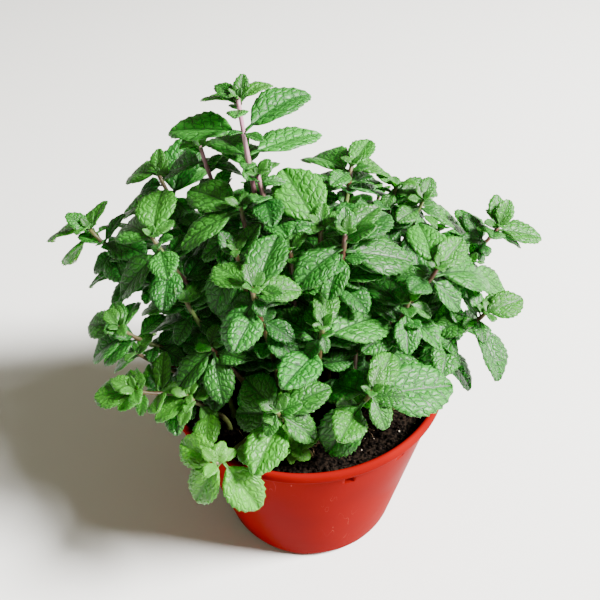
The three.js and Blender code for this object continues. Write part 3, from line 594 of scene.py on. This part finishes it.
stemLook = {"low": (0.070, 0.055, 0.016), "middle": (0.080, 0.024, 0.015), "top": (0.360, 0.150, 0.240),
            "green": (0.110, 0.190, 0.045), "grain": 900.0, "roughness": (0.38, 0.55), "bump": 0.3,
            "bumpDepth": 0.0003}


def makeStemMaterial():
    material, tree, shader = newMaterial("mint stem")
    grain = placeGroup(tree, grainGroup, Scale=stemLook["grain"])
    height = addNode(tree, "ShaderNodeAttribute", {"attribute_name": "stemHeight"}).outputs["Fac"]
    greenness = addNode(tree, "ShaderNodeAttribute", {"attribute_name": "tone"}).outputs["Fac"]
    lower = blendColours(tree, between(tree, height, 0.0, 0.35), stemLook["low"], stemLook["middle"])
    colour = blendColours(tree, between(tree, height, 0.7, 1.0), lower, stemLook["top"])
    mixed = calc(tree, "MULTIPLY", greenness, between(tree, grain["Patches"], 0.35, 0.65))
    tree.links.new(blendColours(tree, mixed, colour, stemLook["green"]), shader.inputs["Base Color"])
    roughenBy(tree, shader, grain["Value"], stemLook["roughness"])
    bumpInto(tree, shader, grain["Value"], stemLook["bump"], stemLook["bumpDepth"])
    return material


potLook = {
    "body": (0.140, 0.0022, 0.0018), "faded": (0.170, 0.0034, 0.0026), "scratch": (0.60, 0.14, 0.10),
    "grain": 260.0, "roughness": (0.30, 0.42), "gloss": 0.002, "bump": 0.12, "bumpDepth": 0.0003,
    "scratchWidth": 0.004, "scratchShare": 0.55,
    "scratchStretch": (60.0, 60.0, 7.0), "scratchTurn": (0.5, 0.3, 0.0),
}


def makePotMaterial():
    material, tree, shader = newMaterial("red plastic")
    grain = placeGroup(tree, grainGroup, Scale=potLook["grain"])
    place = addNode(tree, "ShaderNodeTexCoord").outputs["Object"]
    stretched = addNode(tree, "ShaderNodeMapping", Vector=place, Scale=potLook["scratchStretch"],
                        Rotation=potLook["scratchTurn"]).outputs[0]
    streaks = addNode(tree, "ShaderNodeTexNoise", Vector=stretched, Scale=3.2, Detail=1.0).outputs[0]
    fromLine = calc(tree, "ABSOLUTE", calc(tree, "SUBTRACT", streaks, 0.5))
    thin = between(tree, fromLine, 0.0, potLook["scratchWidth"], 1.0, 0.0)
    scratches = calc(tree, "MULTIPLY", thin, between(tree, grain["Patches"], 0.60, 0.68))
    faded = blendColours(tree, between(tree, grain["Patches"], 0.35, 0.7), potLook["body"], potLook["faded"])
    scratched = calc(tree, "MULTIPLY", scratches, potLook["scratchShare"])
    tree.links.new(blendColours(tree, scratched, faded, potLook["scratch"]), shader.inputs["Base Color"])
    rough = between(tree, grain["Patches"], 0.3, 0.7, *potLook["roughness"])
    rough = calc(tree, "ADD", rough, calc(tree, "MULTIPLY", scratches, 0.3))
    tree.links.new(rough, shader.inputs["Roughness"])
    shader.inputs["Specular IOR Level"].default_value = potLook["gloss"]
    height = calc(tree, "ADD", calc(tree, "MULTIPLY", grain["Value"], 0.3), scratches)
    bumpInto(tree, shader, height, potLook["bump"], potLook["bumpDepth"])
    return material


soilLook = {"dark": (0.0008, 0.0006, 0.0005), "crumb": (0.014, 0.009, 0.006), "perlite": (0.42, 0.36, 0.28),
            "fibre": (0.20, 0.13, 0.075), "roughness": (0.98, 0.8), "gloss": 0.03, "bump": 0.8,
            "bumpDepth": 0.0012}


def makeSoilMaterials():
    materials = []
    for name, first, second, scale in (
            ("damp soil", "dark", "crumb", 700.0), ("perlite", "perlite", "perlite", 1500.0),
            ("root fibre", "fibre", "crumb", 1500.0)):
        material, tree, shader = newMaterial(name)
        grain = placeGroup(tree, grainGroup, Scale=scale, Detail=6.0)
        share = between(tree, grain["Value"], 0.42, 0.66)
        mixed = blendColours(tree, share, soilLook[first], soilLook[second])
        tree.links.new(mixed, shader.inputs["Base Color"])
        roughenBy(tree, shader, grain["Value"], soilLook["roughness"])
        shader.inputs["Specular IOR Level"].default_value = soilLook["gloss"]
        bumpInto(tree, shader, grain["Value"], soilLook["bump"], soilLook["bumpDepth"])
        materials.append(material)
    return materials


leafMaterial, stemMaterial, potMaterial = makeLeafMaterial(), makeStemMaterial(), makePotMaterial()
soilMaterials = makeSoilMaterials()
print("materials made")


# The pot

potPlan = {
    "height": 110, "rimRadius": 75, "rimHeight": 5, "topRadius": 72.6, "baseRadius": 51, "wall": 2,
    "floor": 3, "steps": 360,
    "windows": {"turns": (-75, -51, 45, 69, 165, 189), "width": 4, "low": 95.5, "high": 103, "depth": 1.6,
                "edge": 0.35},
    "feet": {"count": 6, "first": -78, "width": 28, "height": 2.5, "slope": 0.3, "slopeFrom": 47,
             "inner": 30, "cutBelow": 1.9},
    "drains": {"radius": 4, "ring": 38},
}


def wallRadiusAt(z):
    share = z / (potPlan["height"] - potPlan["rimHeight"])
    return potPlan["baseRadius"] + (potPlan["topRadius"] - potPlan["baseRadius"]) * share


def spinProfile(bm, profile, steps):
    verts = [bm.verts.new((r * mm, 0, z * mm)) for r, z in profile]
    edges = [bm.edges.new(pair) for pair in zip(verts, verts[1:])]
    bmesh.ops.spin(bm, geom=verts + edges, cent=(0, 0, 0), axis=(0, 0, 1), angle=math.tau, steps=steps,
                   use_merge=True)
    bmesh.ops.remove_doubles(bm, verts=bm.verts, dist=0.01 * mm)


def offTurn(place, first, count):
    # degrees from the nearest of evenly spaced features round the pot
    step = 360 / count
    return (math.degrees(math.atan2(place.y, place.x)) - first + step / 2) % step - step / 2


def potProfile():
    # radius and height of each ring, from the middle of the underside round to the middle of the floor;
    # rings stand close where holes, feet and windows are cut
    rim, top, floor = potPlan["rimRadius"], potPlan["height"], potPlan["floor"]
    low, high = potPlan["windows"]["low"], potPlan["windows"]["high"]
    windowRows = [low + (high - low) * i / 5 for i in range(6)]
    outerFloor = [(0, 0), (12, 0), (22, 0), (29.2, 0), (30, 0)]
    outerFloor += [(32 + i, 0) for i in range(13)] + [(46.5, 0)]
    outerWall = [(48.4, 0), (49.6, 0.3), (50.5, 1.0), (50.9, 1.8)]
    outerWall += [(wallRadiusAt(z), z) for z in (3.9, 5, 10, 20, 35, 50, 65, 80, 92, 94.5)]
    outerWall += [(wallRadiusAt(z), z) for z in (*windowRows, 104, 104.4)]
    lip = [(rim - inward, top - down) for inward, down in (
        (1.7, 5.5), (0.7, 5.3), (0.15, 4.8), (0, 4), (0, 2.4), (0.2, 1.2), (0.7, 0.4), (1.4, 0),
        (2.2, 0.05), (2.9, 0.4), (3.3, 1.1), (3.7, 2.5), (4.4, 5))]
    innerWall = [(wallRadiusAt(z) - potPlan["wall"], z) for z in (100, 80, 50, 20, 6.5)]
    innerFloor = [(49.6, 5), (48.6, 3.8), (47.2, 3.1), (46, floor)]
    innerFloor += [(44 - i, floor) for i in range(13)] + [(22, floor), (0, floor)]
    return outerFloor + outerWall + lip + innerWall + innerFloor


def sinkWindows(bm):
    windows = potPlan["windows"]
    halfTurn = math.degrees(windows["width"] / 2 / potPlan["topRadius"])
    dented = []
    for face in bm.faces:
        centre = face.calc_center_median()
        outward = face.normal.dot(Vector((centre.x, centre.y, 0))) > 0
        high = windows["low"] * mm < centre.z < windows["high"] * mm
        if outward and high and any(abs(offTurn(centre, turn, 1)) < halfTurn for turn in windows["turns"]):
            dented.append(face)
    bmesh.ops.inset_region(bm, faces=dented, thickness=windows["edge"] * mm,
                           depth=-windows["depth"] * mm, use_even_offset=True)


def cutDrains(bm):
    drains, feet = potPlan["drains"], potPlan["feet"]
    loops = []
    for level in (0, potPlan["floor"]):
        holes = []
        for face in bm.faces:
            centre = face.calc_center_median()
            turned = math.radians(offTurn(centre, feet["first"], feet["count"]))
            radius = math.hypot(centre.x, centre.y) / mm
            off = math.hypot(radius * math.cos(turned) - drains["ring"], radius * math.sin(turned))
            if abs(centre.z / mm - level) < 0.05 and off < drains["radius"]:
                holes.append(face)
        bmesh.ops.delete(bm, geom=holes, context="FACES")
        edges = [edge for edge in bm.edges
                 if edge.is_boundary and abs(edge.verts[0].co.z / mm - level) < 0.05]
        for vert in {vert for edge in edges for vert in edge.verts}:
            turned = math.radians(offTurn(vert.co, feet["first"], feet["count"]))
            middle = math.atan2(vert.co.y, vert.co.x) - turned
            ring = Vector((math.cos(middle), math.sin(middle), 0)) * drains["ring"] * mm
            away = Vector((vert.co.x, vert.co.y, 0)) - ring
            vert.co.x, vert.co.y = (ring + away.normalized() * drains["radius"] * mm)[:2]
        loops += edges
    bmesh.ops.bridge_loops(bm, edges=loops)


def raiseFootGaps(bm):
    feet = potPlan["feet"]
    halfTurn = math.degrees(feet["width"] / 2 / potPlan["baseRadius"])
    for vert in bm.verts:
        radius = math.hypot(vert.co.x, vert.co.y) / mm
        low = radius > feet["inner"] - 0.1 and vert.co.z < feet["cutBelow"] * mm
        if low and abs(offTurn(vert.co, feet["first"], feet["count"])) < halfTurn:
            vert.co.z = (feet["height"] + feet["slope"] * max(0, radius - feet["slopeFrom"])) * mm


def makePotMesh():
    bm = bmesh.new()
    spinProfile(bm, potProfile(), potPlan["steps"])
    bmesh.ops.recalc_face_normals(bm, faces=bm.faces)
    sinkWindows(bm)
    cutDrains(bm)
    raiseFootGaps(bm)
    bmesh.ops.recalc_face_normals(bm, faces=bm.faces)
    for face in bm.faces:
        face.smooth = True
    mesh = bpy.data.meshes.new("flowerPot")
    bm.to_mesh(mesh)
    bm.free()
    return mesh


flowerPot = bpy.data.objects.new("flowerPot", makePotMesh())
dress(flowerPot, [potMaterial], "pot")
print("pot made")


# The soil

soilPlan = {
    "rings": 44, "steps": 150, "below": 3.3, "fromOuterWall": 2.3, "roughness": 0.9,
    "crumbs": 1500, "crumbSize": (0.4, 1.9), "specks": 110, "speckSize": (0.25, 0.7),
    "fibres": 110, "fibreLength": (4, 12), "fibreRadius": 0.22, "fibrePoints": 6, "seed": 7,
}


def soilHeightAt(x, y):
    # the solids' waves, with finer ones on them
    bump = math.sin(x * 0.31 + y * 0.12) + 0.7 * math.sin(y * 0.37 - x * 0.21)
    bump += 0.5 * math.sin((x + y) * 0.53)
    fine = noise.fractal(Vector((x * 0.35, y * 0.35, 3.0)), 1.0, 2.0, 4)
    return growth["soilTop"] + growth["soilRoughness"] * 0.5 * bump + soilPlan["roughness"] * fine


def randomPlace(random, reach):
    radius, angle = reach * math.sqrt(random.random()), random.random() * math.tau
    return radius * math.cos(angle), radius * math.sin(angle)


def scatterCrumbs(bm, random, kind, slotIndex, reach):
    for i in range(soilPlan[kind + "s"]):
        size = random.uniform(*soilPlan[kind + "Size"])
        x, y = randomPlace(random, reach)
        turned = Matrix.Rotation(random.uniform(0, 6), 4, Vector(random.normal(size=3)).normalized())
        shape = Matrix.Diagonal((size, size * random.uniform(0.6, 1), size * random.uniform(0.5, 0.9), 1))
        place = Matrix.Translation((x, y, soilHeightAt(x, y) + size * 0.2))
        matrix = Matrix.Scale(mm, 4) @ place @ turned @ shape
        made = bmesh.ops.create_icosphere(bm, subdivisions=1, radius=1, matrix=matrix)
        for face in {face for vert in made["verts"] for face in vert.link_faces}:
            face.material_index = slotIndex


def layFibres(bm, random, reach):
    before, points = len(bm.faces), soilPlan["fibrePoints"]
    for i in range(soilPlan["fibres"]):
        x, y = randomPlace(random, reach)
        heading, length = random.uniform(0, math.tau), random.uniform(*soilPlan["fibreLength"])
        path, step = [], length / (points - 1)
        for point in range(points):
            path.append(np.array([x, y, soilHeightAt(x, y) + 0.5 + 0.7 * math.sin(point * 1.1)]))
            heading += random.uniform(-0.5, 0.5)
            x, y = x + math.cos(heading) * step, y + math.sin(heading) * step
        sweepTube(bm, path, [soilPlan["fibreRadius"]] * points, 5, [1])
    for face in list(bm.faces)[before:]:
        face.material_index = 2


def makeSoilMesh():
    bm = bmesh.new()
    below, inset, rings = soilPlan["below"], soilPlan["fromOuterWall"], soilPlan["rings"]
    top = wallRadiusAt(growth["soilTop"]) - inset
    profile = [(0, below), (25, below), (46, below), (48.8, 5.8)]
    profile += [(wallRadiusAt(z) - inset, z) for z in (50, 90)]
    profile += [(top * (1 - i / rings), growth["soilTop"]) for i in range(rings + 1)]
    spinProfile(bm, profile, soilPlan["steps"])
    bmesh.ops.recalc_face_normals(bm, faces=bm.faces)
    for vert in bm.verts:
        if vert.co.z > (growth["soilTop"] - 0.1) * mm:
            vert.co.z = soilHeightAt(vert.co.x / mm, vert.co.y / mm) * mm
    random = np.random.default_rng(soilPlan["seed"])
    scatterCrumbs(bm, random, "crumb", 0, top - 2.5)
    scatterCrumbs(bm, random, "speck", 1, top - 2.5)
    layFibres(bm, random, top - 8)
    for face in bm.faces:
        face.smooth = face.material_index != 1
    mesh = bpy.data.meshes.new("pottingSoil")
    bm.to_mesh(mesh)
    bm.free()
    return mesh


def sweepTube(bm, path, radii, corners, section):
    # a ring is drawn out along the path; section repeats round it and scales its corners
    path = [np.asarray(point, float) for point in path]
    side = Vector((1, 0, 0))
    frames = []
    for i, point in enumerate(path):
        along = Vector(unit(path[min(i + 1, len(path) - 1)] - path[max(i - 1, 0)]))
        side = (side - along * side.dot(along)).normalized()
        across = along.cross(side)
        turned = Matrix((side, across, along)).transposed().to_4x4() @ Matrix.Scale(radii[i], 4)
        frames.append(Matrix.Scale(mm, 4) @ Matrix.Translation(Vector(point)) @ turned)
    ring = bmesh.ops.create_circle(bm, segments=corners, radius=1, matrix=Matrix.Identity(4))["verts"]
    for i, vert in enumerate(ring):
        vert.co *= section[i % len(section)]
    bmesh.ops.transform(bm, matrix=frames[0], verts=ring)
    edges = list({edge for vert in ring for edge in vert.link_edges})
    bmesh.ops.contextual_create(bm, geom=edges)
    for before, after in zip(frames, frames[1:]):
        drawn = bmesh.ops.extrude_edge_only(bm, edges=edges)["geom"]
        verts = [item for item in drawn if isinstance(item, bmesh.types.BMVert)]
        edges = [item for item in drawn if isinstance(item, bmesh.types.BMEdge)]
        bmesh.ops.transform(bm, matrix=after @ before.inverted(), verts=verts)
    bmesh.ops.contextual_create(bm, geom=edges)


pottingSoil = bpy.data.objects.new("pottingSoil", makeSoilMesh())
dress(pottingSoil, soilMaterials, "soil")
print("soil made")


# The leafy stems

# the longest leaf of each kind, with its teeth on one side and its columns of faces across
leafGrids = (
    {"longest": 12, "teeth": 4, "across": 4}, {"longest": 22, "teeth": 6, "across": 6},
    {"longest": 31, "teeth": 8, "across": 10}, {"longest": 99, "teeth": 9, "across": 12})

leafShape = {
    "valley": 0.952, "flank": 0.985, "peak": 1.03, "toothReach": 0.45, "tipRoundness": 0.78, "tipWidth": 0.01,
    "petioleThickness": 1.2, "bladeThickness": 0.35, "midribDepth": 0.5, "quilting": 0.32, "crown": 0.05,
    "margins": 0.07, "waves": 0.4, "tones": (0.15, 0.95),
    "fullLength": 38,  # veins and waves shrink on leaves shorter than this
}

# young leaves are paler: low ones at the front, those near a tip, and any a little by chance
youthPlan = {
    "lowFrom": 138, "lowFade": 22, "front": -30, "low": 0.75, "tip": 0.30, "tipReach": 7, "chance": 0.16}
stemShape = {
    "rootHeight": 91.5, "corners": 8, "section": (1.0, 0.86),
    "swelling": 0.16, "swellingReach": 2.0, "swellingMost": 0.25,
    "colourFrom": 105, "colourHeight": 120, "tones": (0.1, 0.9)}


def makeLeafTemplate(grid):
    # a flat sheet with two faces; x runs along the leaf and y across it, both from -1 to 1
    bm = bmesh.new()
    rows = 2 + 3 * grid["teeth"]
    bmesh.ops.create_grid(bm, x_segments=rows, y_segments=grid["across"], size=1)
    bmesh.ops.solidify(bm, geom=bm.faces[:], thickness=0.2)
    bmesh.ops.recalc_face_normals(bm, faces=bm.faces)
    for face in bm.faces:
        face.smooth = True
    mesh = bpy.data.meshes.new("leafTemplate")
    bm.to_mesh(mesh)
    bm.free()
    place = np.zeros(len(mesh.vertices) * 3)
    mesh.vertices.foreach_get("co", place)
    place = place.reshape(-1, 3)
    middle = (place[:, 2].min() + place[:, 2].max()) / 2
    row = np.rint((place[:, 0] / np.abs(place[:, 0]).max() + 1) / 2 * rows).astype(int)
    across = place[:, 1] / np.abs(place[:, 1]).max()
    inBlade = np.arange(-2, rows - 1)
    petiole, teeth = growth["petioleShare"], grid["teeth"]
    step = (1 - petiole) / (3 * teeth)
    inStalk, beyond = petiole * (inBlade + 2) / 2, np.maximum(inBlade, 0)
    shares = np.where(inBlade < 0, inStalk, petiole + (1 - petiole) * beyond / (3 * teeth))
    phase = beyond % 3
    edges = np.choose(phase, [leafShape["valley"], leafShape["flank"], leafShape["peak"]])
    edges[inBlade <= 0] = 1
    width = leafWidthAt(shares)
    width[shares > 0.5] **= leafShape["tipRoundness"]
    width[-1] = leafShape["tipWidth"]
    margin = np.abs(across) ** 4
    share = shares[row] + np.where(phase[row] == 2, step * leafShape["toothReach"] * margin, 0)
    return {
        "mesh": mesh, "count": len(mesh.vertices), "longest": grid["longest"],
        "share": share, "across": across,
        "width": width[row] * (1 + (edges[row] - 1) * margin),
        "upper": np.where(place[:, 2] > middle, 1.0, -1.0)}


leafTemplates = [makeLeafTemplate(grid) for grid in leafGrids]


def bendLeaf(leaf, template):
    # the template's points on the bent leaf in mm, and their leafPlace for the vein group
    share, across, width, length = template["share"], template["across"], template["width"], leaf["length"]
    size = min(1.0, length / leafShape["fullLength"])
    blade = np.clip((share - growth["petioleShare"]) / 0.05, 0, 1)
    x = share * length
    y = np.abs(across) * width * leaf["halfWidth"]
    slope, curve = veinPlan["lean"]
    lean = y * (slope + curve * y / leafUnit)
    pillow = np.abs(np.sin(np.pi * (x - lean) / (veinPlan["sideSpacing"] * length))) ** 0.8
    relief = leafShape["quilting"] * size * (pillow - 0.5) * np.clip(y / (1.6 * size), 0, 1)
    relief *= 1 - 0.7 * across**4
    relief -= leafShape["midribDepth"] * size * np.exp(-(y / (0.8 * size + 0.2)) ** 2)
    relief -= leafShape["margins"] * leaf["halfWidth"] * across**4
    wave = np.sin(share * 17 + leaf["phase"] + across * 1.5)
    relief += leafShape["waves"] * size * np.abs(across) ** 3 * wave
    relief += leafShape["crown"] * leaf["halfWidth"] * np.sin(np.pi * np.abs(across))
    thin = leafShape["bladeThickness"]
    stalk = (leafShape["petioleThickness"] - thin) * np.sqrt(np.maximum(0, 1 - across**2) + 0.05)
    thickness = (thin + stalk * (1 - blade)) * min(1.0, 0.35 + length / 30)
    points = leafPoints(leaf, share, across, width, relief * blade + template["upper"] * thickness / 2)
    points += (leaf["smooth"] - leaf["frame"]["base"]) * np.clip(1 - share * 1.4, 0, 1)[:, None] ** 2
    place = [x, across * width * leaf["halfWidth"], np.full(len(x), length)]
    return points, np.stack(place, axis=1) / leafUnit


def stemRings(stem):
    # the tube's path, from a little below the soil, and its radii, swollen where leaves grow
    path = [np.array([*stem["plan"]["foot"], stemShape["rootHeight"]])] + list(stem["smooth"][::2])
    nodes = {round(leaf["below"]) for leaf in stem["leaves"] if leaf["length"] > leafGrids[0]["longest"]}
    reach = stem["walked"][-1]
    radii = [growth["stemRadius"]]
    for share in np.linspace(0, 1, len(path) - 1):
        fromNodes = [((1 - share) * reach - node) / stemShape["swellingReach"] for node in sorted(nodes)]
        swelling = stemShape["swelling"] * sum(math.exp(-off**2) for off in fromNodes)
        taper = 1 - growth["stemTaper"] * share
        radii.append(growth["stemRadius"] * taper * (1 + min(swelling, stemShape["swellingMost"])))
    return path, radii


def youthOf(leaf):
    base, plan = leaf["frame"]["base"], youthPlan
    low = np.clip((plan["lowFrom"] - base[2]) / plan["lowFade"], 0, 1) * (base[1] < plan["front"])
    nearTip = plan["tip"] * max(0.0, 1 - leaf["below"] / plan["tipReach"])
    return min(1.0, plan["low"] * low + nearTip + spread(0, plan["chance"]))


def makeLeafyStem(stem):
    bm = bmesh.new()
    sweepTube(bm, *stemRings(stem), stemShape["corners"], stemShape["section"])
    for face in bm.faces:
        face.smooth = True
        face.material_index = 1
    stemCount = len(bm.verts)
    chosen = [next(template for template in leafTemplates if leaf["length"] < template["longest"])
              for leaf in stem["leaves"]]
    for template in chosen:
        bm.from_mesh(template["mesh"])
    mesh = bpy.data.meshes.new("leafyStem_" + stem["name"])
    bm.to_mesh(mesh)
    bm.free()

    count = len(mesh.vertices)
    points = np.zeros(count * 3)
    mesh.vertices.foreach_get("co", points)
    points = points.reshape(-1, 3)
    place = np.zeros((count, 3))
    values = {name: np.zeros(count) for name in ("tone", "youth", "under", "stemHeight")}
    upTheStem = (points[:stemCount, 2] / mm - stemShape["colourFrom"]) / stemShape["colourHeight"]
    values["stemHeight"][:stemCount] = np.clip(upTheStem, 0, 1)
    values["tone"][:stemCount] = spread(*stemShape["tones"])
    start = stemCount
    for leaf, template in zip(stem["leaves"], chosen):
        leaf["phase"] = spread(0, 6.28)  # where along the margin its waves start
        part = slice(start, start + template["count"])
        bent, place[part] = bendLeaf(leaf, template)
        points[part] = bent * mm
        values["tone"][part] = spread(*leafShape["tones"])
        values["youth"][part] = youthOf(leaf)
        values["under"][part] = (template["upper"] < 0) * 1.0
        start = part.stop
    mesh.vertices.foreach_set("co", points.ravel())
    for name, numbers in values.items():
        mesh.attributes.new(name, "FLOAT", "POINT").data.foreach_set("value", numbers)
    mesh.attributes.new("leafPlace", "FLOAT_VECTOR", "POINT").data.foreach_set("vector", place.ravel())
    mesh.update()
    piece = bpy.data.objects.new("leafyStem_" + stem["name"], mesh)
    dress(piece, [leafMaterial, stemMaterial], "leafy_stem_" + stem["name"])


for stem in stems:
    makeLeafyStem(stem)
for template in leafTemplates:
    bpy.data.meshes.remove(template["mesh"])
print("leafy stems made")


# Floor, light and camera

studio = {
    "floorColour": (0.72, 0.72, 0.71), "floorRoughness": 0.75, "floorGloss": 0.2, "floorReach": 6,
    "lightPlace": (1.85, -0.48, 1.95), "lightAim": (0, 0, 0.1), "lightSize": 0.80, "lightPower": 540.0,
    "lightColour": (1.0, 0.985, 0.95), "skyColour": (1.0, 0.93, 0.68), "skyStrength": 0.30,
}


def makeFloor():
    bm = bmesh.new()
    bmesh.ops.create_grid(bm, x_segments=8, y_segments=8, size=studio["floorReach"])
    mesh = bpy.data.meshes.new("floor")
    bm.to_mesh(mesh)
    bm.free()
    floor = bpy.data.objects.new("floor", mesh)
    bpy.context.collection.objects.link(floor)
    material, tree, shader = newMaterial("pale floor")
    shader.inputs["Base Color"].default_value = (*studio["floorColour"], 1)
    shader.inputs["Roughness"].default_value = studio["floorRoughness"]
    shader.inputs["Specular IOR Level"].default_value = studio["floorGloss"]
    mesh.materials.append(material)


def makeLight():
    lamp = bpy.data.lights.new("softSun", "AREA")
    lamp.shape, lamp.size = "DISK", studio["lightSize"]
    lamp.energy, lamp.color = studio["lightPower"], studio["lightColour"]
    light = bpy.data.objects.new("softSun", lamp)
    light.location = studio["lightPlace"]
    light.rotation_euler = (Vector(studio["lightAim"]) - light.location).to_track_quat("-Z", "Y").to_euler()
    bpy.context.collection.objects.link(light)
    world = bpy.data.worlds.new("studio")
    world.use_nodes = True
    background = world.node_tree.nodes["Background"]
    background.inputs["Color"].default_value = (*studio["skyColour"], 1)
    background.inputs["Strength"].default_value = studio["skyStrength"]
    bpy.context.scene.world = world


# where the camera stood for the photograph, in mm and degrees
cameraView = {"place": (-1.5, -267.4, 380.6), "downward": 40.3, "roll": -2.5, "lens": 42, "sensor": 36,
              "nearest": 10, "farthest": 50000}


def makeCamera():
    data = bpy.data.cameras.new("camera")
    data.lens, data.sensor_width = cameraView["lens"], cameraView["sensor"]
    data.clip_start, data.clip_end = cameraView["nearest"] * mm, cameraView["farthest"] * mm
    camera = bpy.data.objects.new("camera", data)
    tilt = Matrix.Rotation(math.radians(90 - cameraView["downward"]), 4, "X")
    roll = Matrix.Rotation(math.radians(cameraView["roll"]), 4, "Z")
    camera.matrix_world = Matrix.Translation(Vector(cameraView["place"]) * mm) @ tilt @ roll
    bpy.context.collection.objects.link(camera)
    bpy.context.scene.camera = camera


makeFloor()
makeLight()
makeCamera()
print("studio made")
